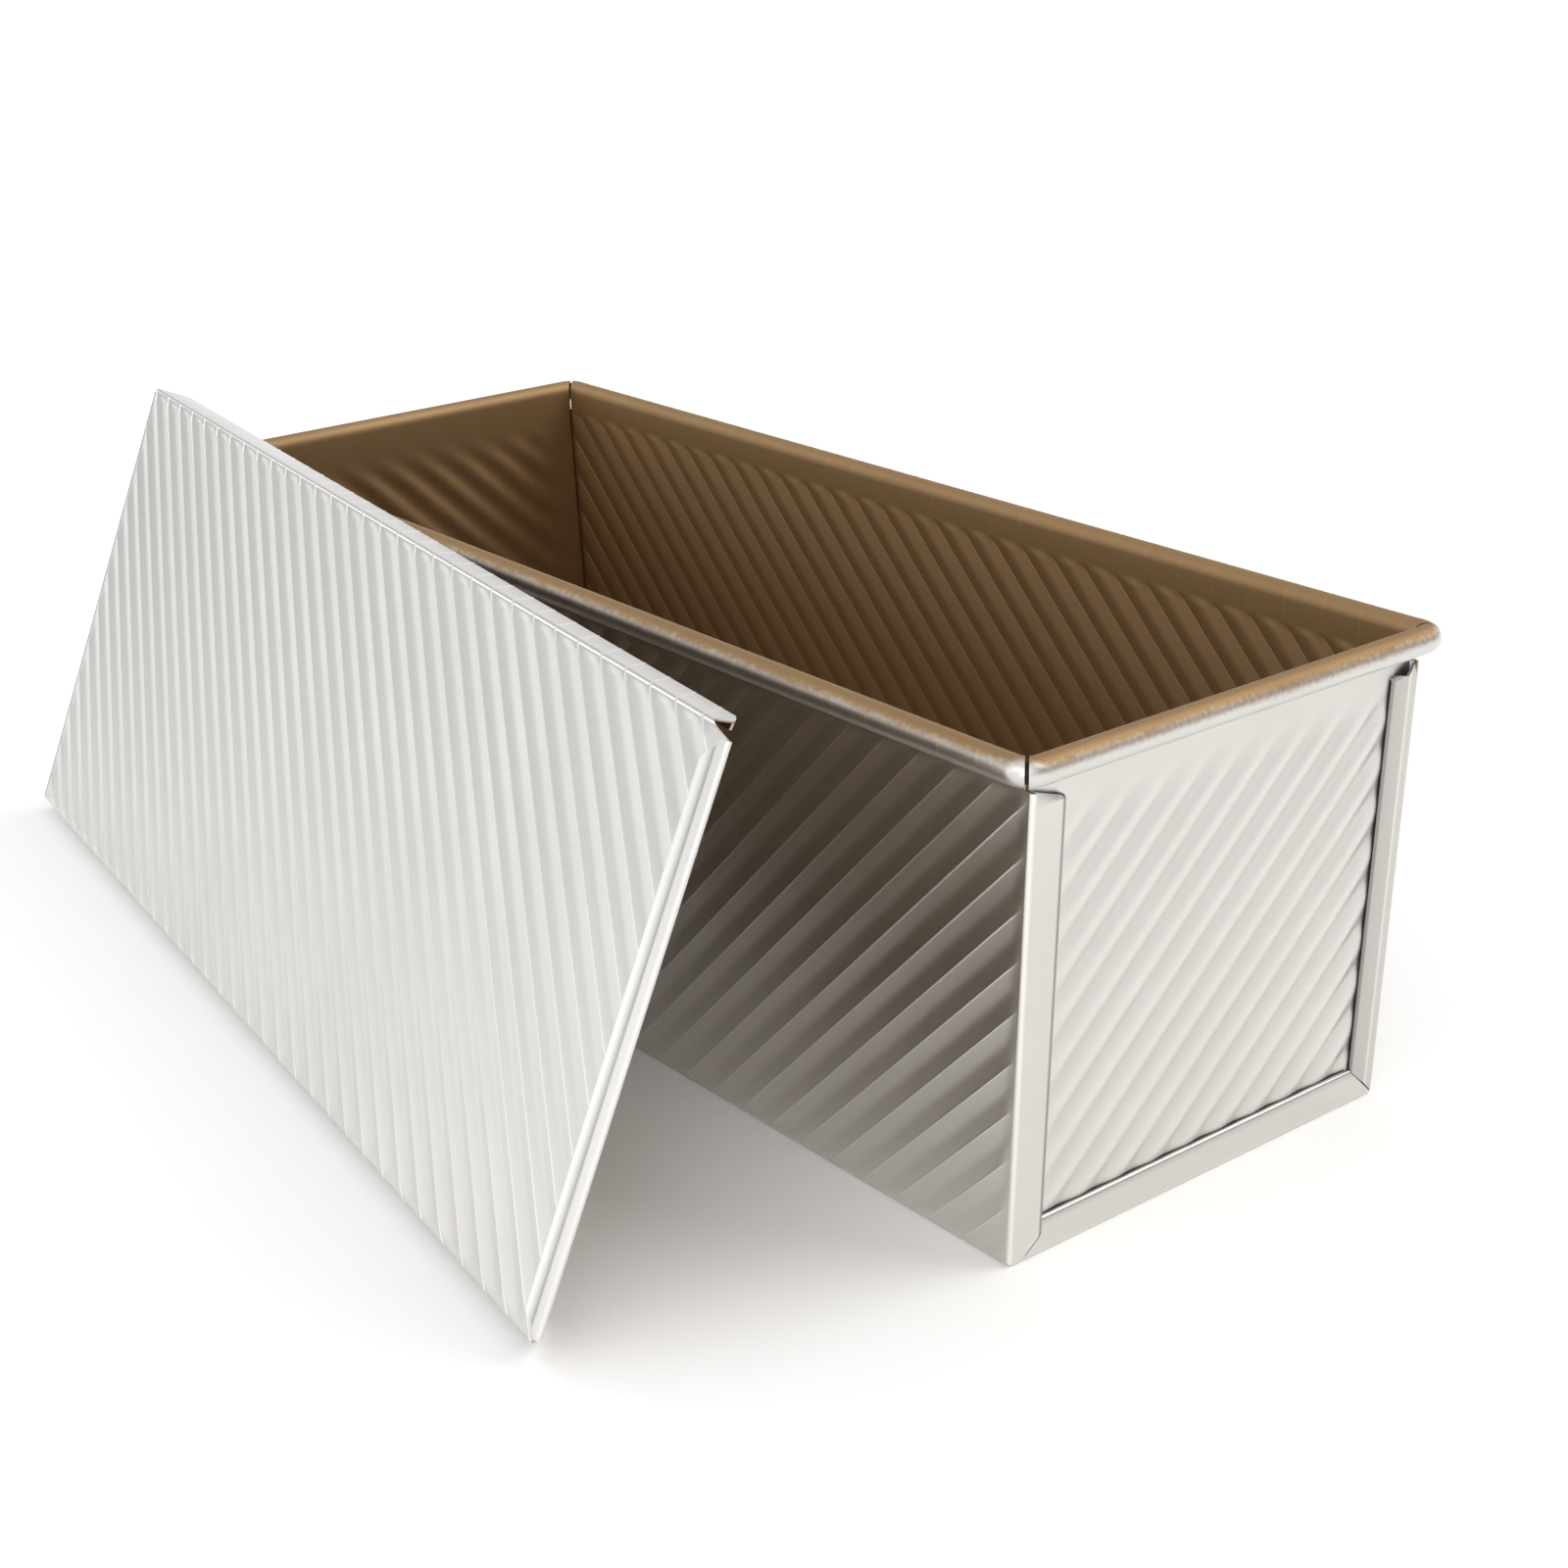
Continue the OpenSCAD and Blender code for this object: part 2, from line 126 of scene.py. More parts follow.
class Section:
    """A section line of straight and round stretches, walked by distance."""

    def __init__(self, parts: Sequence[Arc | Pair]) -> None:
        """Joins the parts in order.

        Args:
            parts: arcs, and plain points where the line starts, ends or turns sharply.
        """
        points: list[Array] = []
        ahead: list[Array | None] = []
        for part in parts:
            if isinstance(part, Arc):
                spots, ways = part.sample()
                points += list(spots)
                ahead += list(ways)
            else:
                points.append(np.array(part, float))
                ahead.append(None)
        steps = np.diff(np.array(points), axis=0)
        for i, way in enumerate(ahead):
            if way is None:
                around = steps[max(i - 1, 0) : i + 1]
                mean = (around / np.linalg.norm(around, axis=1)[:, None]).sum(0)
                ahead[i] = mean / np.linalg.norm(mean)
        self.points = np.array(points)
        self.ahead = np.array(ahead)
        self.dist = np.concatenate([[0.0], np.cumsum(np.linalg.norm(steps, axis=1))])

    @property
    def length(self) -> float:
        """Length of the whole line."""
        return float(self.dist[-1])

    def at(self, dist: Array) -> tuple[Array, Array]:
        """Walks the line.

        Args:
            dist: distances from the start.

        Returns:
            The points there and the unit normals to the right of the way ahead.
        """
        spots = columns(*(np.interp(dist, self.dist, line) for line in self.points.T))
        ways = columns(*(np.interp(dist, self.dist, line) for line in self.ahead.T))
        ways /= np.linalg.norm(ways, axis=1)[:, None]
        return spots, columns(ways[:, 1], -ways[:, 0])

    def reach(self, place: float, skip: int = 0) -> float:
        """How far along the line its first coordinate has a value.

        Args:
            place: the value.
            skip: points at the line's start that are not looked at.

        Returns:
            The distance from the start.
        """
        return float(np.interp(place, self.points[skip:, 0], self.dist[skip:]))


# Flat blanks


def ease(value: Array, start: float, end: float) -> Array:
    """Smooth rise from 0 at start to 1 at end."""
    t = np.clip((np.asarray(value, float) - start) / (end - start), 0.0, 1.0)
    return t * t * (3.0 - 2.0 * t)


def inside(outline: Array, spots: Array) -> Array:
    """Which spots lie inside a closed outline.

    Args:
        outline: corners of the outline in order.
        spots: the points to test.

    Returns:
        One truth value for each spot.
    """
    found = np.zeros(len(spots), bool)
    x, y = spots.T
    for (x0, y0), (x1, y1) in zip(outline, np.roll(outline, -1, axis=0)):
        if y0 != y1:
            crossing = (y0 > y) != (y1 > y)
            found ^= crossing & (x < x0 + (y - y0) * (x1 - x0) / (y1 - y0))
    return found


def cross2(first: Array, second: Array) -> Array:
    """The cross product of plane vectors, one for each row."""
    return first[..., 0] * second[..., 1] - first[..., 1] * second[..., 0]


@dataclass
class Blank:
    """A flat piece of sheet: its outline, and the lines along which it bends."""

    outline: Sequence[Pair]
    creases: list[tuple[Pair, Pair]] = field(default_factory=list)

    SAME_POINT: ClassVar[float] = 1e-4
    LEAST_AREA: ClassVar[float] = 1e-7
    LEAST_CREASE: ClassVar[float] = 1e-3
    LEAST_CROSS: ClassVar[float] = 1e-12
    DECIMALS: ClassVar[int] = 9

    def crease(self, *points: Pair) -> None:
        """Adds a crease line from each point to the next."""
        self.creases += zip(points[:-1], points[1:])

    def rows(self, levels: Sequence[float], axis: Flat) -> None:
        """Adds crease lines at fixed values of one coordinate.

        Args:
            levels: the values.
            axis: which coordinate they are values of.
        """
        low, high = np.min(self.outline, axis=0), np.max(self.outline, axis=0)
        for level in levels:
            low[axis.value] = high[axis.value] = level
            self.crease(tuple(low), tuple(high))

    def cut(self) -> tuple[Array, Array]:
        """Triangulates the blank along its creases.

        Returns:
            The flat points and the triangles.
        """
        ring = np.array(self.outline, float)
        spots = [Vector(p) for p in ring]
        edges = [(i, (i + 1) % len(ring)) for i in range(len(ring))]
        for start, end in self.creases:
            for stretch in self._clip(ring, np.array(start, float), np.array(end, float)):
                spots += [Vector(p) for p in stretch]
                edges.append((len(spots) - 2, len(spots) - 1))
        result = delaunay_2d_cdt(spots, edges, [], 0, self.SAME_POINT, False)
        flat = np.array([tuple(p) for p in result[0]])
        tris = np.array([f for f in result[2] if len(f) == 3])
        tris = tris[inside(ring, flat[tris].mean(axis=1))]
        a, b, c = (flat[tris[:, k]] for k in range(3))
        tris = tris[np.abs(cross2(b - a, c - a)) > self.LEAST_AREA]
        used, tris = np.unique(tris, return_inverse=True)
        return flat[used], tris.reshape(-1, 3)

    def _clip(self, ring: Array, start: Array, end: Array) -> list[tuple[Array, Array]]:
        """Cuts a crease line where it crosses the outline.

        Args:
            ring: corners of the outline in order.
            start: the line's start.
            end: the line's end.

        Returns:
            The two ends of each stretch that lies inside.
        """
        way, spans = end - start, np.roll(ring, -1, axis=0) - ring
        cross = cross2(way, spans)
        ok = np.abs(cross) > self.LEAST_CROSS
        rel = ring[ok] - start
        t = cross2(rel, spans[ok]) / cross[ok]
        u = cross2(rel, way) / cross[ok]
        slack = 10.0**-self.DECIMALS
        stops = np.round(t[(u >= -slack) & (u <= 1 + slack)], self.DECIMALS)
        stops = stops[(stops >= 0) & (stops <= 1)]
        stops = np.unique(np.concatenate([[0.0], stops, [1.0]]))
        mids = start + way * ((stops[:-1] + stops[1:]) / 2)[:, None]
        least = self.LEAST_CREASE / np.linalg.norm(way)
        return [
            (start + way * low, start + way * high)
            for low, high, kept in zip(stops[:-1], stops[1:], inside(ring, mids))
            if kept and high - low > least
        ]


def flat_field(value: float) -> Field:
    """A field that has one value everywhere."""
    return lambda u, v: np.full(len(u), value)


NONE, FULL = flat_field(0.0), flat_field(1.0)


@dataclass
class SheetStack:
    """The folded blanks of one piece, gathered with what its tree reads at each point."""

    spots: list[Array] = field(default_factory=list)
    outs: list[Array] = field(default_factory=list)
    faces: list[Array] = field(default_factory=list)
    values: dict[str, list[Array]] = field(default_factory=lambda: defaultdict(list))

    def add(
        self,
        blank: Blank,
        fold: Fold,
        across: Field = NONE,
        weight: Field = NONE,
        crease: Field = NONE,
        painted_light_share: Field = NONE,
        coat: tuple[Field, Field] = (NONE, FULL),
    ) -> None:
        """Folds one blank and adds it as a closed shell of no thickness yet.

        Args:
            blank: the flat sheet.
            fold: gives the place and the outward direction of flat points.
            across: distance across the corrugation.
            weight: share of the corrugation's depth.
            crease: share of the fine raised line on each crest, and of the painted highlight along
                it.
            painted_light_share: painted light on the sheet, above 0 a painted highlight and below 0
                painted shade.
            coat: how much coating shows on the outer and on the inner face.
        """
        flat, tris = blank.cut()
        u, v = flat.T
        mid, out = fold(u, v)
        a, b, c = (mid[tris[:, k]] for k in range(3))
        facing = (np.cross(b - a, c - a) * out[tris].sum(axis=1)).sum(axis=1)
        flip = facing < 0
        tris[flip] = tris[flip][:, ::-1]
        count, base = len(mid), sum(len(s) for s in self.spots)
        walls = self._walls(tris, count)
        self.faces.append(np.concatenate([tris, tris[:, ::-1] + count, walls]) + base)
        self.spots.append(np.concatenate([mid, mid]))
        self.outs.append(np.concatenate([out, out]))
        shared = {"across": across, "weight": weight, "crease": crease, "painted_light_share": painted_light_share}
        skins = {name: (rule, rule) for name, rule in shared.items()}
        skins |= {"side": (FULL, flat_field(-1.0)), "coat": coat}
        for name, rules in skins.items():
            self.values[name].append(np.concatenate([rule(u, v) for rule in rules]))

    @staticmethod
    def _walls(tris: Array, count: int) -> Array:
        """Joins the outer face's rim to the inner face's.

        Args:
            tris: the outer face's triangles.
            count: how many points the outer face has.

        Returns:
            The triangles between the two faces.
        """
        sides = np.concatenate([tris[:, [0, 1]], tris[:, [1, 2]], tris[:, [2, 0]]])
        key = np.sort(sides, axis=1)
        _, index, times = np.unique(key, axis=0, return_inverse=True, return_counts=True)
        start, end = sides[times[index.reshape(-1)] == 1].T
        return np.concatenate(
            [columns(end, start, start + count), columns(end, start + count, end + count)]
        )

    def build(self, name: str, place: Matrix = Matrix.Identity(4)) -> bpy.types.Object:
        """Makes the gathered shells one object.

        Args:
            name: the object's name.
            place: turns and moves the piece, in millimetres.

        Returns:
            The object, in metres.
        """
        turn = np.array(place.to_3x3())
        spots = np.concatenate(self.spots) @ turn.T + np.array(place.translation)
        outs = np.concatenate(self.outs) @ turn.T
        mesh = bpy.data.meshes.new(name)
        mesh.from_pydata(spots * MM, [], np.concatenate(self.faces).tolist())
        for key, parts in self.values.items():
            data = np.concatenate(parts).astype(np.float32)
            if key == "across":
                data = data * np.float32(MM)
            mesh.attributes.new(key, "FLOAT", "POINT").data.foreach_set("value", data)
        layer = mesh.attributes.new("out", "FLOAT_VECTOR", "POINT")
        layer.data.foreach_set("vector", outs.astype(np.float32).ravel())
        return link_object(name, mesh)


def link_object(name: str, data: bpy.types.ID) -> bpy.types.Object:
    """Makes an object and puts it in the scene.

    Args:
        name: the object's name.
        data: its mesh, lamp or camera.

    Returns:
        The object.
    """
    obj = bpy.data.objects.new(name, data)
    bpy.context.scene.collection.objects.link(obj)
    return obj


# Node trees


class TreeMaker:
    """Short ways to write the nodes of one tree."""

    given: Sequence[bpy.types.NodeSocket]
    end: bpy.types.Node

    def __init__(self, tree: bpy.types.NodeTree) -> None:
        """Keeps the tree."""
        self.tree = tree

    @classmethod
    def start(
        cls, name: str, kind: str, inputs: dict[str, float | str], outputs: dict[str, str]
    ) -> Self:
        """Starts a node group with its sockets.

        Args:
            name: the group's name.
            kind: the group's type.
            inputs: its inputs, each with a plain number's default or another socket's type.
            outputs: its outputs, each with its socket's type.

        Returns:
            The maker, with the group's inputs as given and its output node as end.
        """
        make = cls(bpy.data.node_groups.new(name, kind))
        for way, sockets in (("INPUT", inputs), ("OUTPUT", outputs)):
            for label, value in sockets.items():
                plain = isinstance(value, float)
                shape = "NodeSocketFloat" if plain else value
                made = make.tree.interface.new_socket(label, in_out=way, socket_type=shape)
                if plain:
                    made.default_value = value
        make.given = make.add("NodeGroupInput").outputs
        make.end = make.add("NodeGroupOutput")
        return make

    def add(
        self, kind: str, feeds: dict[str | int, object] | None = None, **settings: object
    ) -> bpy.types.Node:
        """Makes one node.

        Args:
            kind: the node's type.
            feeds: what goes into its inputs.
            settings: its own properties.

        Returns:
            The node.
        """
        node = self.tree.nodes.new(kind)
        for key, value in settings.items():
            setattr(node, key, value)
        self.feed(node, feeds or {})
        return node

    def feed(self, node: bpy.types.Node, feeds: dict[str | int, object]) -> None:
        """Feeds a node's inputs.

        Args:
            node: the node.
            feeds: sockets or plain values, by the input's name or number.
        """
        for key, value in feeds.items():
            if isinstance(value, bpy.types.NodeSocket):
                self.tree.links.new(value, node.inputs[key])
            else:
                node.inputs[key].default_value = value

    def sum(self, operation: str, *values: object) -> bpy.types.NodeSocket:
        """The result of one Math node."""
        return self.add("ShaderNodeMath", dict(enumerate(values)), operation=operation).outputs[0]

    def scaled(self, vector: object, factor: object) -> bpy.types.NodeSocket:
        """A vector or colour times a number."""
        feeds = {0: vector, "Scale": factor}
        return self.add("ShaderNodeVectorMath", feeds, operation="SCALE").outputs[0]

    def ramp(self, value: object, span: Pair) -> bpy.types.NodeSocket:
        """A smooth rise from 0 to 1 over a span of the value."""
        feeds = {"Value": value, "From Min": span[0], "From Max": span[1]}
        return self.add("ShaderNodeMapRange", feeds, interpolation_type="SMOOTHSTEP").outputs[0]

    def mix(self, share: object, *colours: object, blend: str = "MIX") -> bpy.types.NodeSocket:
        """Two colours mixed, or the first one tinted by the second."""
        feeds = {"Factor": share, 6: colours[0], 7: colours[1]}
        return self.add("ShaderNodeMix", feeds, data_type="RGBA", blend_type=blend).outputs[2]

    def stored(self, name: str, kind: str = "FLOAT") -> bpy.types.NodeSocket:
        """A value kept at each point of a mesh."""
        node = self.add("GeometryNodeInputNamedAttribute", {"Name": name}, data_type=kind)
        return node.outputs["Attribute"]

    def painted(self, name: str) -> bpy.types.NodeSocket:
        """The same kept value, as a material reads it."""
        return self.add("ShaderNodeAttribute", attribute_name=name).outputs["Fac"]

    def finish(self, geometry: bpy.types.NodeSocket) -> bpy.types.NodeTree:
        """Ends a geometry tree in Realize Instances and Set Material.

        Args:
            geometry: what the tree has made.

        Returns:
            The tree.
        """
        real = self.add("GeometryNodeRealizeInstances", {0: geometry}).outputs[0]
        feeds = {"Geometry": real, "Material": self.given["Material"]}
        self.feed(self.end, {0: self.add("GeometryNodeSetMaterial", feeds).outputs[0]})
        return self.tree


def corrugation_tree() -> bpy.types.NodeTree:
    """Builds the tree that presses the ribs into a folded sheet and thickens it.

    Returns:
        The geometry node tree.
    """
    make = TreeMaker.start(
        "corrugate_sheet",
        "GeometryNodeTree",
        {
            "Geometry": "NodeSocketGeometry",
            "Pitch": 0.0074,
            "Depth": 0.0009,
            "First crest": 0.0,
            "Waviness": 0.0,
            "Valley roundness": 0.25,
            "Crest line height": 0.00007,
            "Crest line width": 0.0002,
            # Shares of the painted highlight along each crest line and of the painted light and
            # shade across the crest bands
            "Crest line painted highlight": 0.6,
            "Crest band painted light": 0.0,
            "Thickness": 0.0006,
            "Material": "NodeSocketMaterial",
        },
        {"Geometry": "NodeSocketGeometry"},
    )
    given, stored, result = make.given, make.stored, make.sum

    # Height of the ribs, from -0.5 in the valleys to 0.5 on the crests
    turns = result("DIVIDE", stored("across"), given["Pitch"])
    turns = result("SUBTRACT", turns, given["First crest"])
    spread = result("ABSOLUTE", result("MULTIPLY_ADD", result("FRACT", turns), 2.0, -1.0))
    round_sq = result("POWER", given["Valley roundness"], 2.0)
    curve = result("SQRT", result("MULTIPLY_ADD", spread, spread, round_sq))
    curve = result("SUBTRACT", curve, given["Valley roundness"])
    full = result("SQRT", result("ADD", round_sq, 1.0))
    full = result("SUBTRACT", full, given["Valley roundness"])
    creased = result("SUBTRACT", result("DIVIDE", curve, full), 0.5)
    wavy = result("COSINE", result("MULTIPLY", turns, 2 * math.pi))
    step = result("SUBTRACT", result("MULTIPLY", wavy, 0.5), creased)
    height = result("MULTIPLY_ADD", step, given["Waviness"], creased)

    # The fine line on each crest, as a drop of 0 on the line to -1 beside it
    away = result("MULTIPLY", result("SUBTRACT", 1.0, spread), 0.5)
    away = result("MULTIPLY", away, given["Pitch"])
    away = result("DIVIDE", away, given["Crest line width"])
    drop = result("MAXIMUM", result("MULTIPLY", away, -1.0), -1.0)

    # Painted light: a painted highlight on each crest line, painted light and shade across the
    # crest bands, and the painted highlights and shade that the blanks carry
    line = result("MULTIPLY", result("ADD", drop, 1.0), given["Crest line painted highlight"])
    line = result("MULTIPLY", line, result("ABSOLUTE", stored("crease")))
    band = result("MULTIPLY", height, given["Crest band painted light"])
    band = result("MULTIPLY_ADD", band, stored("weight"), stored("painted_light_share"))

    # The two faces of the sheet
    half = result("MULTIPLY", given["Thickness"], 0.5)
    skin = result("MULTIPLY", stored("side"), half)
    drop = result("MULTIPLY", drop, given["Crest line height"])
    drop = result("MULTIPLY_ADD", drop, stored("crease"), skin)
    height = result("MULTIPLY", height, given["Depth"])
    shift = result("MULTIPLY_ADD", height, stored("weight"), drop)
    offset = make.scaled(stored("out", "FLOAT_VECTOR"), shift)
    feeds = {"Geometry": given["Geometry"], "Offset": offset}
    moved = make.add("GeometryNodeSetPosition", feeds).outputs[0]
    # Stored as painted light, which the material turns into brighter and darker colour
    painted_light = result("ADD", line, band)
    feeds = {"Geometry": moved, "Name": "painted_light", "Value": painted_light}
    kept = make.add("GeometryNodeStoreNamedAttribute", feeds, data_type="FLOAT", domain="POINT")
    return make.finish(kept.outputs[0])


def wire_tree() -> bpy.types.NodeTree:
    """Builds the tree that runs a round wire along the rim's line.

    Returns:
        The geometry node tree.
    """
    make = TreeMaker.start(
        "rim_wire_round",
        "GeometryNodeTree",
        {
            "Geometry": "NodeSocketGeometry",
            "Radius": 0.00235,
            "Sides": "NodeSocketInt",
            "Material": "NodeSocketMaterial",
        },
        {"Geometry": "NodeSocketGeometry"},
    )
    given = make.given
    feeds = {"Radius": given["Radius"], "Resolution": given["Sides"]}
    ring = make.add("GeometryNodeCurvePrimitiveCircle", feeds).outputs[0]
    line = make.add("GeometryNodeMeshToCurve", {0: given["Geometry"]}).outputs[0]
    feeds = {"Curve": line, "Profile Curve": ring}
    return make.finish(make.add("GeometryNodeCurveToMesh", feeds).outputs[0])


def run_tree(
    obj: bpy.types.Object, tree: bpy.types.NodeTree, values: dict[str, object]
) -> bpy.types.Object:
    """Runs a tree on an object, keeps the result as its plain mesh and shades it smooth.

    Args:
        obj: the object.
        tree: the tree.
        values: the tree's inputs by name.

    Returns:
        The same object.
    """
    modifier = obj.modifiers.new(tree.name, "NODES")
    modifier.node_group = tree
    for item in tree.interface.items_tree:
        if item.in_out == "INPUT" and item.name in values:
            modifier[item.identifier] = values[item.name]
    graph = bpy.context.evaluated_depsgraph_get()
    graph.update()
    made = bpy.data.meshes.new_from_object(obj.evaluated_get(graph))
    obj.modifiers.remove(modifier)
    old, obj.data = obj.data, made
    name = old.name
    bpy.data.meshes.remove(old)
    made.name = name
    for key in ("across", "weight", "crease", "painted_light_share", "side", "out"):
        if key in made.attributes:
            made.attributes.remove(made.attributes[key])
    made.shade_smooth()
    made.set_sharp_from_angle(angle=math.radians(SMOOTH_BELOW))
    return obj


# Finishes


def channel(seen: float) -> float:
    """One channel of a colour as seen, 0 to 255, as the share of light it stands for."""
    share = seen / 255.0
    return share / 12.92 if share <= 0.04045 else ((share + 0.055) / 1.055) ** 2.4


def srgb(red: float, green: float, blue: float) -> Colour:
    """A colour as seen, as the linear colour that a shader takes."""
    return channel(red), channel(green), channel(blue), 1.0


def grain_group() -> bpy.types.NodeTree:
    """Builds the fine rolled grain and the faint handling marks of sheet metal.

    Returns:
        A shader group that puts out a fine value, a broad value and a normal.
    """
    make = TreeMaker.start(
        "sheet_grain",
        "ShaderNodeTree",
        {"Grain scale": 900.0, "Blotch scale": 28.0, "Bump": 0.03},
        {"Fine": "NodeSocketFloat", "Broad": "NodeSocketFloat", "Normal": "NodeSocketVector"},
    )
    where = make.add("ShaderNodeTexCoord").outputs["Object"]
    feeds = {"Vector": where, "Scale": make.given["Grain scale"], "Detail": 2.0}
    fine = make.add("ShaderNodeTexNoise", feeds).outputs["Fac"]
    feeds = {"Vector": where, "Scale": make.given["Blotch scale"], "Detail": 4.0, "Roughness": 0.55}
    broad = make.add("ShaderNodeTexNoise", feeds).outputs["Fac"]
    feeds = {"Strength": make.given["Bump"], "Distance": 0.0002, "Height": fine}
    bump = make.add("ShaderNodeBump", feeds).outputs[0]
    make.feed(make.end, {"Fine": fine, "Broad": broad, "Normal": bump})
    return make.tree


@dataclass(frozen=True)
class SheetFinish:
    """Bright rolled sheet with a baked coating where the coat value says so.

    The coating's edge wanders with the broad grain and frays with the fine one. Painted
    highlights brighten the colour and painted shade darkens it where the mesh's painted light says
    so.
    """

    name: str
    metal: Colour
    coating: Colour = srgb(162, 134, 98)
    roughness: float = 0.33
    coating_roughness: float = 0.58
    roughness_spread: float = 0.06
    grain: float = 0.05
    # Strength of the painted light: painted highlights brighten the colour and painted shade
    # darkens it
    painted_light: float = 0.34
    edge_wander: float = 0.5
    edge_fray: float = 0.45
    edge_span: Pair = (0.1, 0.9)
    marks: float = 0.16
    mark_tint: Colour = srgb(176, 170, 162)

    def build(self, group: bpy.types.NodeTree) -> bpy.types.Material:
        """Makes the material.

        Args:
            group: the shared grain group.

        Returns:
            The material.
        """
        made = bpy.data.materials.new(self.name)
        made.use_nodes = True
        make = TreeMaker(made.node_tree)
        grain = make.add("ShaderNodeGroup", node_tree=group)
        make.feed(grain, {"Bump": self.grain})
        fine, broad = grain.outputs["Fine"], grain.outputs["Broad"]
        edge = make.painted("coat")
        for value, share in ((broad, self.edge_wander), (fine, self.edge_fray)):
            edge = make.sum("MULTIPLY_ADD", make.sum("SUBTRACT", value, 0.5), share, edge)
        mask = make.ramp(edge, self.edge_span)
        tint = make.mix(mask, self.metal, self.coating)
        marks = make.sum("MULTIPLY", broad, self.marks)
        shade = make.mix(marks, tint, self.mark_tint, blend="MULTIPLY")
        # Painted light: the colour is raised for painted highlights and lowered for painted shade
        gain = make.sum("MULTIPLY_ADD", make.painted("painted_light"), self.painted_light, 1.0)
        spread = self.roughness_spread
        rough = make.sum("MULTIPLY_ADD", fine, spread, self.roughness - spread / 2)
        rough = make.sum("MULTIPLY_ADD", broad, spread, rough)
        step = self.coating_roughness - self.roughness
        feeds = {
            "Metallic": 1.0,
            "Base Color": make.scaled(shade, gain),
            "Roughness": make.sum("MULTIPLY_ADD", mask, step, rough),
            "Normal": grain.outputs["Normal"],
        }
        make.feed(made.node_tree.nodes["Principled BSDF"], feeds)
        return made


# Sizes


@dataclass(frozen=True)
class PanSize:
    """Sizes of the pan.

    They are the CAD frame's, apart from the slit, the radius of the bends at the ends' edges, the
    width of the fine creases and the depth of the ribs on the walls and the end panels.
    """

    height: float = 112.0
    base_len: float = 304.0
    width: float = 112.0
    end_lean: float = 6.0
    sheet: float = 0.6
    bend: float = 1.2
    edge_bend: float = 0.8
    wire: float = 4.7
    wire_gap: float = 0.05
    corner_extra: float = 0.2
    slit: float = 0.8
    curl_open: float = 46.0
    panel_inset: float = 2.0
    panel_gap: float = 0.1
    lip_gap: float = 0.3
    near_fold: float = 9.0
    far_fold: float = 7.3
    base_fold: float = 8.1
    fold_top_drop: float = 2.4
    pitch: float = 7.4
    depth: float = 0.55
    panel_depth: float = 0.85
    base_depth: float = 0.5
    wall_first: float = 0.4
    end_first: float = 0.2
    crease_width: float = 0.2

    @property
    def slope(self) -> float:
        """How far an end leans out for each millimetre of height."""
        return self.end_lean / self.height

    @property
    def mid(self) -> float:
        """Depth of the sheet's middle under its face."""
        return self.sheet / 2

    @property
    def bead_r(self) -> float:
        """Outer radius of the rim bead."""
        return self.wire / 2 + self.wire_gap + self.sheet

    @property
    def bead_mid(self) -> float:
        """Radius of the middle of the curled sheet."""
        return self.bead_r - self.mid

    @property
    def bead_z(self) -> float:
        """Height of the bead's centre."""
        return self.height - self.bead_r

    @property
    def mitre_z(self) -> float:
        """Height at which the mitred rim begins."""
        return self.bead_z - self.bead_r - self.bend * 1.6

    @property
    def rim_y(self) -> float:
        """Distance of the long beads from the middle."""
        return self.width / 2 + self.bead_r - self.sheet

    @property
    def rim_x(self) -> float:
        """Distance of the end beads from the middle."""
        out = (self.bead_r - self.sheet - self.panel_inset) * math.sqrt(1 + self.slope**2)
        return self.base_len / 2 + self.bead_z * self.slope + out

    @property
    def corner_r(self) -> float:
        """Radius of the rim's corner at the bead's centre."""
        return self.bead_r + self.corner_extra

    @property
    def corner_x(self) -> float:
        """Where the long beads begin to turn."""
        return self.rim_x - self.corner_r

    @property
    def corner_y(self) -> float:
        """Where the end beads begin to turn."""
        return self.rim_y - self.corner_r

    @property
    def far_top(self) -> float:
        """Round coordinate of the far wall's top, where the near wall's is mitre_z."""
        return -self.width - self.mitre_z

    def end_x(self, z: Array | float, inset: float) -> Array | float:
        """X of the leaning end plane at a height, moved inwards by an inset."""
        return self.base_len / 2 + z * self.slope - inset * math.sqrt(1 + self.slope**2)

    def on_end(self, y: Array, z: Array, h: Array | float) -> Array:
        """Places points on the near end by height and distance in front of its plane."""
        return columns(self.end_x(z, 0.0) + h, y, z)


@dataclass(frozen=True)
class RibFades:
    """Where the pan's ribs run out, as distances from the bends of the sheet.

    Each distance gets a crease. The ribs fade between the first and the last of them, and at
    the walls' foot between the first and the bend.
    """

    wall_top: Steps = (2.2, 1.5, 0.8, 0.2)
    wall_foot: Steps = (3.4, 2.6, 1.9)
    wall_end: Steps = (0.2, 0.9, 1.8, 2.6, 3.4)
    base_side: Steps = (2.6, 3.6, 4.6, 5.6)
    base_end: Steps = (3.4, 4.4, 5.5, 6.6)


# Places within one pitch where the sheet needs a crease line
CREASED_STEPS = (0.0, 0.027, 0.06, 0.2, 0.32, 0.4, 0.46, 0.54, 0.6, 0.68, 0.8, 0.94, 0.973)
WAVY_STEPS = tuple(i / 8 for i in range(8))


def rib_lines(pitch: float, first: float, steps: Sequence[float], reach: float) -> list[float]:
    """Where the corrugation needs crease lines, as distances across the ribs.

    Args:
        pitch: distance between crests.
        first: the first crest, in pitches.
        steps: places within one pitch.
        reach: the distance needed to either side.

    Returns:
        The distances.
    """
    pitches = range(int(-reach // pitch) - 1, int(reach // pitch) + 2)
    return [pitch * (first + k + step) for k in pitches for step in steps]


@dataclass(frozen=True)
class Ribs:
    """The corrugation of one piece: its depth, and its first crest in pitches."""

    depth: float
    first: float
    shape: RibShape = RibShape.CREASED
    # Painted light across the crest bands: crests painted lighter and valleys painted darker
    painted_light_share: float = 0.0


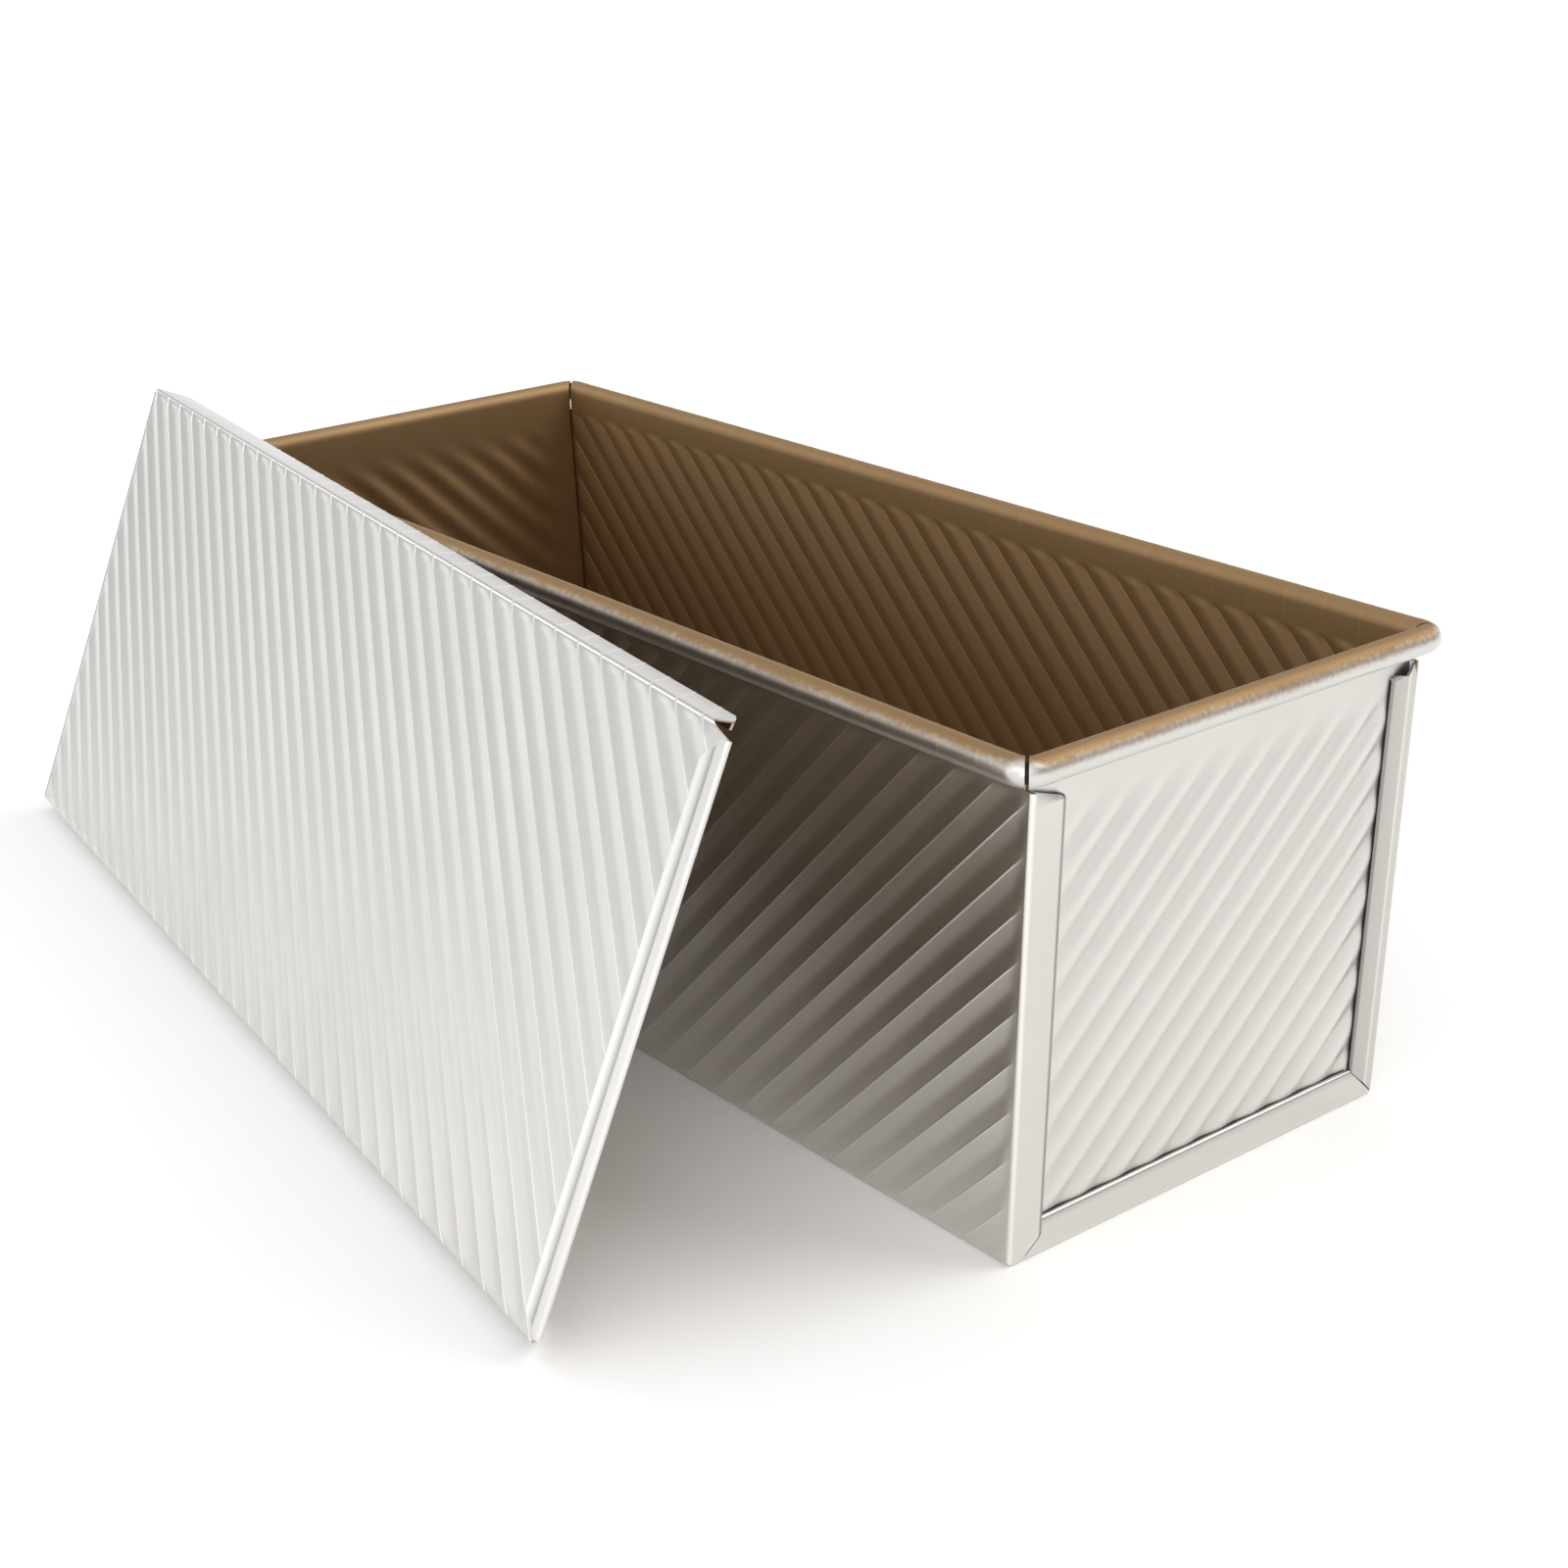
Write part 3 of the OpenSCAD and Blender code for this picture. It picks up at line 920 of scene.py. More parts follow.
@dataclass
class RibbedSheet:
    """What every piece of ribbed sheet has: its blanks, and the way they become one mesh."""

    pan: PanSize = field(default_factory=PanSize, kw_only=True)
    stack: SheetStack = field(default_factory=SheetStack, init=False)

    def ribs(self) -> Ribs:
        """The piece's corrugation."""
        raise NotImplementedError

    def add_blanks(self) -> None:
        """Adds every blank of the piece to its stack."""
        raise NotImplementedError

    def pose(self) -> Matrix:
        """Where the piece goes from its own axes, in millimetres."""
        return Matrix.Identity(4)

    def build(
        self, name: str, tree: bpy.types.NodeTree, finish: bpy.types.Material
    ) -> bpy.types.Object:
        """Forms the blanks into one mesh.

        Args:
            name: the piece's name.
            tree: the corrugation tree.
            finish: the sheet's material.

        Returns:
            The finished object.
        """
        self.add_blanks()
        ribs = self.ribs()
        inputs = {
            "Pitch": self.pan.pitch * MM,
            "Depth": ribs.depth * MM,
            "First crest": ribs.first,
            "Waviness": ribs.shape.value,
            "Crest band painted light": ribs.painted_light_share,
            "Thickness": self.pan.sheet * MM,
            "Material": finish,
        }
        return run_tree(self.stack.build(f"{name}_formed", self.pose()), tree, inputs)


# The pan


@dataclass
class PanFolds:
    """Folding rules that the pan's pieces share.

    The round coordinate c is the height on the near wall. It goes on below zero along the
    bottom, and on up the far wall.
    """

    size: PanSize = field(default_factory=PanSize)
    fades: RibFades = field(default_factory=RibFades)

    def __post_init__(self) -> None:
        """Works out the trough's section, walked from the near wall's top to the far wall's."""
        s = self.size
        y, r = s.width / 2 - s.mid, s.bend - s.mid
        near, far = Arc((-y + r, s.bend), r, 180, 270), Arc((y - r, s.bend), r, 270, 360)
        self.section = Section([(-y, s.mitre_z), near, far, (y, s.mitre_z)])
        flat, turn = s.mitre_z - s.bend, r * math.pi / 2
        self.girth = np.cumsum([0, flat, turn, s.width - 2 * s.bend, turn, flat])
        near_end, far_end = [s.mitre_z, s.bend, -s.bend], [s.bend, -s.bend, -s.mitre_z]
        self.levels = near_end + [level - s.width for level in far_end]

    def bend_levels(self) -> list[float]:
        """Values of the round coordinate at which the trough's corners need a crease."""
        steps = np.linspace(self.size.bend, -self.size.bend, 7)
        return [*steps, *(steps - self.size.width)]

    def height_at(self, c: Array) -> Array:
        """Height above the table for the round coordinate."""
        width = self.size.width
        return np.where(c > 0, c, np.where(c < -width, -width - c, 0.0))

    def round(self, c: Array, inset: float = 0.0) -> tuple[Array, Array]:
        """Walks round the trough.

        Args:
            c: the round coordinate.
            inset: distance inwards from the sheet's middle.

        Returns:
            (y, z) and the outward directions.
        """
        spot, out = self.section.at(np.interp(-c, [-v for v in self.levels], self.girth))
        return spot - out * inset, out

    def trough(self, x: Array, c: Array) -> tuple[Array, Array]:
        """Folds the walls and the bottom.

        Args:
            x: place along the pan.
            c: the round coordinate.

        Returns:
            The places and the outward directions.
        """
        spot, out = self.round(c)
        lift = self.size.base_depth / 2 * self.base_share(x, c)
        return columns(x, spot[:, 0], spot[:, 1] + lift), columns(0.0, out[:, 0], out[:, 1])

    def base_share(self, x: Array, c: Array) -> Array:
        """How much of the bottom's corrugation there is.

        Args:
            x: place along the pan.
            c: the round coordinate.

        Returns:
            0 on the bends to 1 between them.
        """
        side, end = self.fades.base_side, self.fades.base_end
        near = ease(-c, side[0], side[-1]) * ease(c + self.size.width, side[0], side[-1])
        return near * ease(self.size.base_len / 2 - np.abs(x), end[0], end[-1])

    def wall_share(self, x: Array, c: Array) -> Array:
        """How much of the walls' corrugation there is.

        Args:
            x: place along the pan.
            c: the round coordinate.

        Returns:
            0 on the bends to 1 between them.
        """
        s, fades = self.size, self.fades
        z = self.height_at(c)
        side = ease(self.end_edge(z) - np.abs(x), fades.wall_end[0], fades.wall_end[-1])
        top = ease(z, s.mitre_z - fades.wall_top[0], s.mitre_z - fades.wall_top[-1])
        return side * ease(z, s.bend, fades.wall_foot[0]) * (1 - top)

    def edge_blank(self, end: float) -> Blank:
        """Cuts a strip that runs round an end's edge and turns out of it.

        Args:
            end: how far it turns.

        Returns:
            The strip, with its creases, by round coordinate and angle.
        """
        high, low = self.size.mitre_z, self.size.far_top
        blank = Blank([(high, 0.0), (high, end), (low, end), (low, 0.0)])
        blank.rows(np.arange(15.0, end, 15.0), Flat.V)
        blank.rows(self.bend_levels(), Flat.U)
        return blank

    def end_edge(self, z: Array | float) -> Array | float:
        """Where the walls' sheet starts to turn into the end folds."""
        return self.size.end_x(z, self.size.mid + self.size.edge_bend)


def turned(fold: Fold, turn: Turn) -> Fold:
    """The same fold at the other end of the pan.

    Args:
        fold: the fold at the near end.
        turn: which end is wanted.

    Returns:
        The fold at that end.
    """
    half_turn = np.array([1.0, 1.0, 1.0] if turn is Turn.NEAR else [-1.0, -1.0, 1.0])

    def other(u: Array, v: Array) -> tuple[Array, Array]:
        """Folds, then turns about the upright axis."""
        spot, out = fold(u, v)
        return spot * half_turn, out * half_turn

    return other


@dataclass
class RimCurl:
    """The curl over the wire along one side, swept straight and round half of each corner.

    p runs along the side and t over the curl, from the sheet below it. The least radius and the
    most slit keep the slit from taking the whole turn beside the corner's axis.
    """

    size: PanSize
    foot: float
    half: float
    centre: float
    coat_edge: Pair
    corner: float = 4.0
    corner_steps: int = 6
    least_radius: float = 0.36
    most_slit: float = 0.7
    coat_drop: float = 1.6
    coat_drop_span: Pair = (-1.0, 3.0)

    def __post_init__(self) -> None:
        """Works out the section, measured from the corner's upright axis, and the blank."""
        s = self.size
        bead = Arc((s.corner_r, s.bead_z), s.bead_mid, 180, -180 + s.curl_open, 12)
        self.section = Section([(self.foot, s.mitre_z), bead])
        self.start = float(self.section.dist[1])
        end, top = self.half + self.corner, self.section.length
        self.blank = Blank([(-end, 0.0), (end, 0.0), (end, top), (-end, top)])
        self.blank.rows(self.section.dist[1:-1], Flat.V)
        for k in range(self.corner_steps):
            stop = self.half + self.corner * k / self.corner_steps
            self.blank.rows([-stop, stop], Flat.U)

    def sweep(self, p: Array, t: Array) -> tuple[Array, Array]:
        """Sweeps the section, up to the mitred slits in the corners.

        Args:
            p: place along the side.
            t: distance along the section.

        Returns:
            Places and outward directions, each as along, across and up.
        """
        spot, out = self.section.at(t)
        radius, side = spot[:, 0], out[:, 0]
        share = np.clip((np.abs(p) - self.half) / self.corner, 0.0, 1.0)
        narrow = self.size.slit / 2 / np.maximum(radius, self.least_radius)
        angle = share * (math.pi / 4 - np.arcsin(np.clip(narrow, 0.0, self.most_slit)))
        sign = np.sign(p)
        along = np.clip(p, -self.half, self.half) + sign * radius * np.sin(angle)
        place = columns(along, self.centre + radius * np.cos(angle), spot[:, 1])
        return place, columns(sign * side * np.sin(angle), side * np.cos(angle), out[:, 1])

    def coat(self, p: Array, t: Array) -> Array:
        """Coating on the bead: on the inner side and the top, less far at the corners.

        Args:
            p: place along the side.
            t: distance along the section.

        Returns:
            How much coating shows.
        """
        low, high = self.coat_drop_span
        less = self.coat_drop * ease(np.abs(p), self.half + low, self.half + high)
        return 1 - ease(t + less, self.start + self.coat_edge[0], self.start + self.coat_edge[1])


@dataclass
class EndStrip:
    """One strip of the end folds.

    The section's points are the distance from the pan's edge and the height over the end's
    plane. The outline has the distance along the section and the place along the strip.
    """

    edge: Edge
    section: Section
    outline: list[Pair]
    painted_marks: list[Pair]
    size: PanSize
    top_sink: float = 0.8
    top_steps: Steps = (0.9, 0.6, 0.3)

    @property
    def top(self) -> float:
        """Height of the strip's inner top corner."""
        return self.size.mitre_z - self.size.fold_top_drop

    def blank(self) -> Blank:
        """Cuts the strip.

        Returns:
            The flat strip with its creases.
        """
        blank = Blank(self.outline)
        blank.rows([*self.section.dist[1:-1], *(t for t, _ in self.painted_marks)], Flat.U)
        if self.edge is not Edge.BASE:
            blank.rows([self.top - step for step in self.top_steps], Flat.V)
        return blank

    def fold(self, t: Array, along: Array) -> tuple[Array, Array]:
        """Places the strip against its own edge of the near end, its top pressed down.

        Args:
            t: distance along the section.
            along: place along the strip.

        Returns:
            The places and the outward directions.
        """
        s, side = self.size, self.edge.value
        spot, out = self.section.at(t)
        u, h = spot[:, 0], spot[:, 1]
        if self.edge is Edge.BASE:
            return s.on_end(along, u, h), columns(-out[:, 1], 0.0, -out[:, 0])
        level = along + (t - self.section.length) * (s.fold_top_drop / self.section.length)
        h = h - self.top_sink * ease(level, self.top - self.top_steps[0], self.top)
        place = s.on_end(side * (s.width / 2 - u), along, h)
        return place, columns(-out[:, 1], side * out[:, 0], 0.0)

    def painted_light_share(self, t: Array, along: Array) -> Array:
        """Painted light along the strip: painted shade towards its inner edge and, on the far
        strip, a painted highlight on the step's ridge between painted shade.
        """
        return np.interp(t, *np.transpose(self.painted_marks))


@dataclass
class EndFolds:
    """The three strips folded over an end, with the mitred seams between them.

    The painted light tables give the painted light on a strip at distances back from its inner
    edge, and on the far strip's step at distances from its start: painted shade along the inner
    edges, where the strips meet the panel, and a painted highlight on the step's ridge between
    painted shade.
    """

    size: PanSize = field(default_factory=PanSize)
    crown: float = 30.0
    near_round: float = 0.35
    base_round: float = 0.5
    seam_gap: float = 0.2
    seam_start: float = 3.8
    seam: tuple[Pair, ...] = ((5.3, 2.3), (7.8, 4.1), (8.5, 4.8))
    seam_end: float = 5.5
    near_past: float = 0.3
    far_past: float = 0.6
    far_corner: tuple[Pair, ...] = ((0.0, 1.2), (0.7, 0.3))
    far_cut: float = 1.6
    step_start: float = 2.9
    step: Arc = Arc((3.9, -0.75), 0.9, 115, 50, 13)
    far_lip: Pair = (0.1, 0.35)
    # Painted light on the strips: painted shade towards their inner edges, and a painted highlight
    # on the far strip's step
    near_painted_light: tuple[Pair, ...] = ((2.3, 0.1), (1.9, -1.5), (0.0, -1.5))
    base_painted_light: tuple[Pair, ...] = ((2.2, 0.0), (1.2, -0.5), (0.6, -0.9), (0.25, -1.7))
    step_painted_light: tuple[Pair, ...] = ((1.3, -0.3), (1.8, 0.0), (2.3, 0.5), (2.9, -0.5))
    far_painted_light: tuple[Pair, ...] = ((0.9, -0.6), (0.4, -1.7))

    def __post_init__(self) -> None:
        """Works out where the strips start and end, and the near seam."""
        s = self.size
        self.start, self.face = s.mid + s.edge_bend, -s.mid
        self.back = -(s.panel_inset - s.lip_gap)
        self.near_in, self.base_in, self.far_in = (
            fold - s.mid for fold in (s.near_fold, s.base_fold, s.far_fold)
        )
        ends = (self.seam_start, self.start), (self.near_in, self.seam_end)
        self.near_seam = [ends[0], *self.seam, ends[1]]
        self.top, self.low_top = s.mitre_z, s.mitre_z - s.fold_top_drop

    def near_strip(self) -> EndStrip:
        """The strip against the near wall, crowned and pressed down at its inner edge.

        Returns:
            The strip.
        """
        inner, gap = self.near_in - self.near_round, self.seam_gap
        middle = (self.start + self.near_in - self.near_round) / 2
        swing = math.degrees(math.asin((middle - self.start) / self.crown))
        sunk = self.face - self.crown * math.cos(math.radians(swing))
        section = Section(
            [
                Arc((middle, sunk), self.crown, 90 + swing, 90 - swing, 3.0),
                Arc((inner, self.face - self.near_round), self.near_round, 80, 0, 20),
                (self.near_in, self.back),
            ]
        )
        end = section.length
        seam = [(self.start, self.start), *((u - gap, v + gap) for u, v in self.near_seam[:-1])]
        outline = [
            *((section.reach(u), v) for u, v in seam),
            (end, self.near_seam[-1][1] + gap),
            (end, self.low_top),
            (section.reach(inner), self.low_top),
            (section.reach(self.start), self.top),
        ]
        painted_marks = [(end - back, share) for back, share in self.near_painted_light]
        return EndStrip(Edge.NEAR, section, outline, painted_marks, self.size)

    def far_strip(self) -> EndStrip:
        """The strip against the far wall, with a step beside its bend.

        Returns:
            The strip.
        """
        step_x, sink = self.step.centre
        lip_x, lip_rise = self.far_lip
        section = Section(
            [
                (self.start, self.face),
                (self.step_start, self.face),
                replace(self.step, centre=(step_x, self.face + sink)),
                (self.far_in - lip_x, self.back + lip_rise),
                (self.far_in, self.back),
            ]
        )
        end = section.length
        outline = [
            (section.reach(self.start), self.start + self.seam_gap),
            (section.reach(self.far_in), self.far_in + self.seam_gap + self.far_past),
            (end, self.low_top),
            (section.reach(step_x), self.low_top),
            (section.reach(self.start), self.top),
        ]
        painted_marks = [*self.step_painted_light, *((end - back, share) for back, share in self.far_painted_light)]
        return EndStrip(Edge.FAR, section, outline, painted_marks, self.size)

    def base_strip(self) -> EndStrip:
        """The strip along the foot, crowned, with a rounded lip.

        Returns:
            The strip.
        """
        half, gap, lip_r = self.size.width / 2, self.seam_gap, self.base_round
        low = math.asin((self.base_in - lip_r - self.start) / self.crown)
        turn = 90 - math.degrees(low)
        sunk = self.face - self.crown * (1 - math.cos(low)) - lip_r * math.cos(low)
        section = Section(
            [
                Arc((self.start, self.face - self.crown), self.crown, 90, turn, 2.0),
                Arc((self.base_in - lip_r, sunk), lip_r, turn, 0, 15),
                (self.base_in, self.back),
            ]
        )
        end, cut = section.length, self.base_in - self.far_cut
        seam = [(v - gap * (v > self.start), u + gap - half) for u, v in self.near_seam]
        corner = [(self.base_in - u, half - self.far_in - v) for u, v in self.far_corner]
        outline = [
            *((section.reach(u), v) for u, v in seam),
            (end, self.near_in + 2 * gap + self.near_past - half),
            *((section.reach(u), v) for u, v in corner),
            (section.reach(cut), half - self.base_in + self.far_cut - gap),
            (section.reach(self.start), half - self.start - gap),
        ]
        painted_marks = [(end - back, share) for back, share in self.base_painted_light]
        return EndStrip(Edge.BASE, section, outline, painted_marks, self.size)


@dataclass
class BodySheet(RibbedSheet):
    """The folded sheet: bottom, long walls with their curls, and the folds round the ends."""

    coat_edge: Pair = (4.8, 9.6)
    bead_crease: float = -0.7
    bead_crease_steps: Steps = (-2.4, -1.0, 0.0, 1.0, 2.4)
    bead_crease_fade: float = 3.0
    bead_crease_end: float = 11.0

    def __post_init__(self) -> None:
        """Prepares the folding rules."""
        self.folds = PanFolds(self.pan)

    def ribs(self) -> Ribs:
        """The walls' corrugation, which the bottom shares at less depth."""
        return Ribs(self.pan.depth, self.pan.wall_first)

    def add_trough(self) -> None:
        """Adds the walls and the bottom, ribbed at an angle across the whole sheet."""
        s, f, fades = self.pan, self.folds, self.folds.fades
        high, low, width = s.mitre_z, s.far_top, s.width
        top, foot = f.end_edge(high), f.end_edge(0.0)
        right = [(top, high), (foot, 0.0), (foot, -width), (top, low)]
        blank = Blank(right + [(-x, c) for x, c in reversed(right)])
        reach = (s.base_len + high - low) / ROOT2
        for d in rib_lines(s.pitch, s.wall_first, CREASED_STEPS, reach):
            shift = s.base_len / 2 - ROOT2 * d
            blank.crease((shift + low, low), (shift + high, high))
        levels = [*(high - step for step in fades.wall_top), *fades.wall_foot]
        blank.rows(levels + [-width - z for z in levels], Flat.V)
        blank.rows(f.bend_levels(), Flat.V)
        side = fades.base_side
        blank.rows([-step for step in side] + [step - width for step in side], Flat.V)
        for inset in fades.wall_end:
            for sign in (-1, 1):
                x0, x1 = sign * (top - inset), sign * (foot - inset)
                blank.crease((x0, high), (x1, 0.0), (x1, -width), (x0, low))
        for inset in fades.base_end:
            for sign in (-1, 1):
                x = sign * (s.base_len / 2 - inset)
                blank.crease((x, -side[0]), (x, side[0] - width))

        def across(x: Array, c: Array) -> Array:
            """Distance across the ribs, which run on round the trough."""
            return (s.base_len / 2 - x + c) / ROOT2

        def weight(x: Array, c: Array) -> Array:
            """Share of the ribs' depth: full on the walls and flatter on the bottom."""
            return f.wall_share(x, c) + f.base_share(x, c) * s.base_depth / s.depth

        self.stack.add(blank, f.trough, across, weight, f.wall_share)

    def roll_edge(self, c: Array, angle: Array) -> tuple[Array, Array]:
        """Rolls the sheet over the near end's edge.

        Args:
            c: the round coordinate.
            angle: how far the sheet has turned.

        Returns:
            The places and the outward directions.
        """
        s, f = self.pan, self.folds
        turn = np.radians(angle)
        spot, out = f.round(c, s.edge_bend)
        outward = np.cos(turn)[:, None] * out
        yz = spot + outward * s.edge_bend
        x = f.end_edge(f.height_at(c)) + np.sin(turn) * s.edge_bend
        return columns(x, yz[:, 0], yz[:, 1]), columns(np.sin(turn), outward[:, 0], outward[:, 1])

    def add_end(self, turn: Turn) -> None:
        """Adds the bend that runs round one end, and the strips that it turns into.

        Args:
            turn: which end.
        """

        def painted_light_share(c: Array, angle: Array) -> Array:
            """A painted highlight runs along the middle of the bend."""
            return 1 - np.abs(angle - 45.0) / 45.0

        blank = self.folds.edge_blank(90.0)
        self.stack.add(blank, turned(self.roll_edge, turn), painted_light_share=painted_light_share)
        folds = EndFolds(self.pan)
        for strip in (folds.near_strip(), folds.far_strip(), folds.base_strip()):
            fold = turned(strip.fold, turn)
            self.stack.add(strip.blank(), fold, painted_light_share=strip.painted_light_share, coat=(NONE, NONE))

    def add_long_rim(self, side: float) -> None:
        """Adds the top of one long wall and the curl over the wire.

        Args:
            side: -1 for the near wall and 1 for the far one.
        """
        s = self.pan
        foot = s.corner_r - s.bead_mid
        curl = RimCurl(s, foot, s.corner_x, s.corner_y, self.coat_edge)
        run = s.pitch * ROOT2
        first = s.base_len / 2 - s.wall_first * run - side * s.mitre_z
        first -= s.width if side > 0 else 0.0
        width = s.crease_width * ROOT2
        count = int(s.base_len // run) + 2
        for k in range(-count, count):
            levels = [first + k * run + step * width for step in self.bead_crease_steps]
            curl.blank.rows(levels, Flat.U)

        def fold(p: Array, t: Array) -> tuple[Array, Array]:
            """Puts the curl on its own side."""
            place, out = curl.sweep(p, t)
            return place * [1.0, side, 1.0], out * [1.0, side, 1.0]

        def across(p: Array, t: Array) -> Array:
            """Distance across the fine creases that run on over the bead."""
            return (first - p) / ROOT2 + s.wall_first * s.pitch

        def crease(p: Array, t: Array) -> Array:
            """The creases, with the painted highlight along each, fade at the corners and stop on
            the underside of the curl.
            """
            share = 1 - ease(np.abs(p), s.corner_x - self.bead_crease_fade, s.corner_x)
            return self.bead_crease * share * (t < curl.start + self.bead_crease_end)

        self.stack.add(curl.blank, fold, across, crease=crease, coat=(NONE, curl.coat))

    def add_blanks(self) -> None:
        """Adds the trough, both ends and both long rims."""
        self.add_trough()
        for turn in Turn:
            self.add_end(turn)
        for side in (-1.0, 1.0):
            self.add_long_rim(side)


@dataclass
class EndPanel(RibbedSheet):
    """One end panel: softly ribbed, with its own curl and its edges turned out."""

    turn: Turn = Turn.NEAR
    coat_edge: Pair = (5.4, 10.2)
    fade_steps: Steps = (-2.0, -1.0, 0.0, 1.3, 2.6, 4.0, 5.5)
    under_folds: float = 0.3
    top_fade: Steps = (92.0, 94.0, 96.0, 98.0, 100.0, 102.0)
    flange_flat: float = 0.5
    # Painted light on the ribs: crests painted lighter and valleys painted darker
    crest_band_painted_light: float = 0.5

    def __post_init__(self) -> None:
        """Prepares the folding rules and the lines where the folds end on the panel."""
        s, half = self.pan, self.pan.width / 2
        self.folds = PanFolds(s)
        self.near_line, self.far_line = s.near_fold - half, half - s.far_fold
        self.foot_line = s.base_fold

    def ribs(self) -> Ribs:
        """The panel's soft corrugation, with painted light on the crests and painted shade in the
        valleys.
        """
        return Ribs(self.pan.panel_depth, self.pan.end_first, RibShape.WAVY, self.crest_band_painted_light)

    def clear_of_fold(self, distance: Array) -> Array:
        """Share of the ribs' depth beside a fold.

        Args:
            distance: how far the plate's point is from the fold's edge, below 0 under it.

        Returns:
            The share.
        """
        first, last = self.fade_steps[0], self.fade_steps[-1]
        under = self.under_folds * ease(distance, first, 0.0)
        return under + (1 - self.under_folds) * ease(distance, 0.0, last)

    def rib_share(self, y: Array, z: Array) -> Array:
        """Share of the ribs' depth: they run out under the folds and fade towards the rim.

        Args:
            y: place across the pan.
            z: height.

        Returns:
            The share.
        """
        beside = self.clear_of_fold(y - self.near_line) * self.clear_of_fold(self.far_line - y)
        top = ease(z, self.top_fade[0], self.top_fade[-1])
        return beside * self.clear_of_fold(z - self.foot_line) * (1 - top)

    def add_plate(self) -> None:
        """Adds the ribbed plate between the turned-out edges."""
        s = self.pan
        edge = s.sheet + s.panel_gap + s.mid + s.edge_bend
        half = s.width / 2
        left, right, low, high = edge - half, half - edge, edge, s.mitre_z
        blank = Blank([(left, low), (right, low), (right, high), (left, high)])
        reach = (s.width + s.height) / ROOT2
        for d in rib_lines(s.pitch, s.end_first, WAVY_STEPS, reach):
            shift = -half + ROOT2 * d
            blank.crease((shift, 0.0), (shift + high, high))
        near, far, steps = self.near_line, self.far_line, self.fade_steps
        blank.rows([near + step for step in steps] + [far - step for step in steps], Flat.U)
        blank.rows([self.foot_line + step for step in steps] + [*self.top_fade], Flat.V)

        def fold(y: Array, z: Array) -> tuple[Array, Array]:
            """Places the plate behind the end's plane."""
            place = s.on_end(y, z, -(s.panel_inset + s.mid))
            return place, np.tile([1.0, 0.0, -s.slope], (len(y), 1))

        def across(y: Array, z: Array) -> Array:
            """Distance across the ribs."""
            return (y + half - z) / ROOT2

        self.stack.add(blank, turned(fold, self.turn), across, self.rib_share)

    def roll_flange(self, c: Array, angle: Array) -> tuple[Array, Array]:
        """Rolls the near plate's edge out of its plane, and on straight past 90 degrees.

        Args:
            c: the round coordinate.
            angle: how far the edge has turned, and on in millimetres from 90.

        Returns:
            The places and the outward directions.
        """
        s, f, r = self.pan, self.folds, self.pan.edge_bend
        turn = np.radians(np.minimum(angle, 90.0))
        past = np.maximum(angle - 90.0, 0.0)
        spot, out = f.round(c, s.sheet + s.panel_gap + r)
        outward = np.sin(turn)[:, None] * out
        yz = spot + outward * r
        x = s.end_x(f.height_at(c), s.panel_inset + s.mid - r) - np.cos(turn) * r + past
        facing = columns(np.cos(turn), -outward[:, 0], -outward[:, 1])
        return columns(x, yz[:, 0], yz[:, 1]), facing

    def add_flange(self) -> None:
        """Adds the edge turned out between the trough and the end folds."""
        blank = self.folds.edge_blank(90.0 + self.flange_flat)
        self.stack.add(blank, turned(self.roll_flange, self.turn))

    def add_rim(self) -> None:
        """Adds the panel's top and its curl over the wire."""
        s = self.pan
        foot = float(s.end_x(s.mitre_z, s.panel_inset + s.mid) - s.corner_x)
        curl = RimCurl(s, foot, s.corner_y, s.corner_x, self.coat_edge)

        def fold(p: Array, t: Array) -> tuple[Array, Array]:
            """Runs the curl across the pan."""
            place, out = curl.sweep(p, t)
            return place[:, [1, 0, 2]], out[:, [1, 0, 2]]

        self.stack.add(curl.blank, turned(fold, self.turn), coat=(NONE, curl.coat))

    def add_blanks(self) -> None:
        """Adds the plate, its turned-out edge and its rim."""
        self.add_plate()
        self.add_flange()
        self.add_rim()


@dataclass
class RimWire:
    """The closed wire inside the rim bead."""

    size: PanSize = field(default_factory=PanSize)
    sides: int = 20
    corner_steps: int = 8

    def build(
        self, name: str, tree: bpy.types.NodeTree, finish: bpy.types.Material
    ) -> bpy.types.Object:
        """Runs the wire round the rim.

        Args:
            name: the piece's name.
            tree: the wire tree.
            finish: the wire's material.

        Returns:
            The finished object.
        """
        s = self.size
        line: list[Triple] = []
        for quarter, (sx, sy) in enumerate(((1, 1), (-1, 1), (-1, -1), (1, -1))):
            for step in range(self.corner_steps + 1):
                angle = math.radians(90 * quarter + 90 * step / self.corner_steps)
                x = sx * s.corner_x + s.corner_r * math.cos(angle)
                y = sy * s.corner_y + s.corner_r * math.sin(angle)
                line.append((x * MM, y * MM, s.bead_z * MM))
        mesh = bpy.data.meshes.new(f"{name}_drawn")
        mesh.from_pydata(line, [(i, (i + 1) % len(line)) for i in range(len(line))], [])
        obj = link_object(f"{name}_drawn", mesh)
        inputs = {"Radius": s.wire / 2 * MM, "Sides": self.sides, "Material": finish}
        return run_tree(obj, tree, inputs)


# The lid


@dataclass(frozen=True)
class LidSize:
    """Sizes of the lid, and how it leans.

    They are the CAD frame's, apart from the end slit, the hem fold's place and the ribs' depth.
    """

    extra_len: float = 15.5
    side_gap: float = 0.5
    channel: float = 11.0
    lip: float = 3.3
    hem: float = 8.0
    far_drop: float = 9.0
    end_slit: float = 1.0
    fold_x: float = 1.3
    first: float = 0.28
    depth: float = 0.62
    yaw: float = 8.5
    past_corner: float = 53.0
    lean_gap: float = 0.3
    stand: float = 0.9


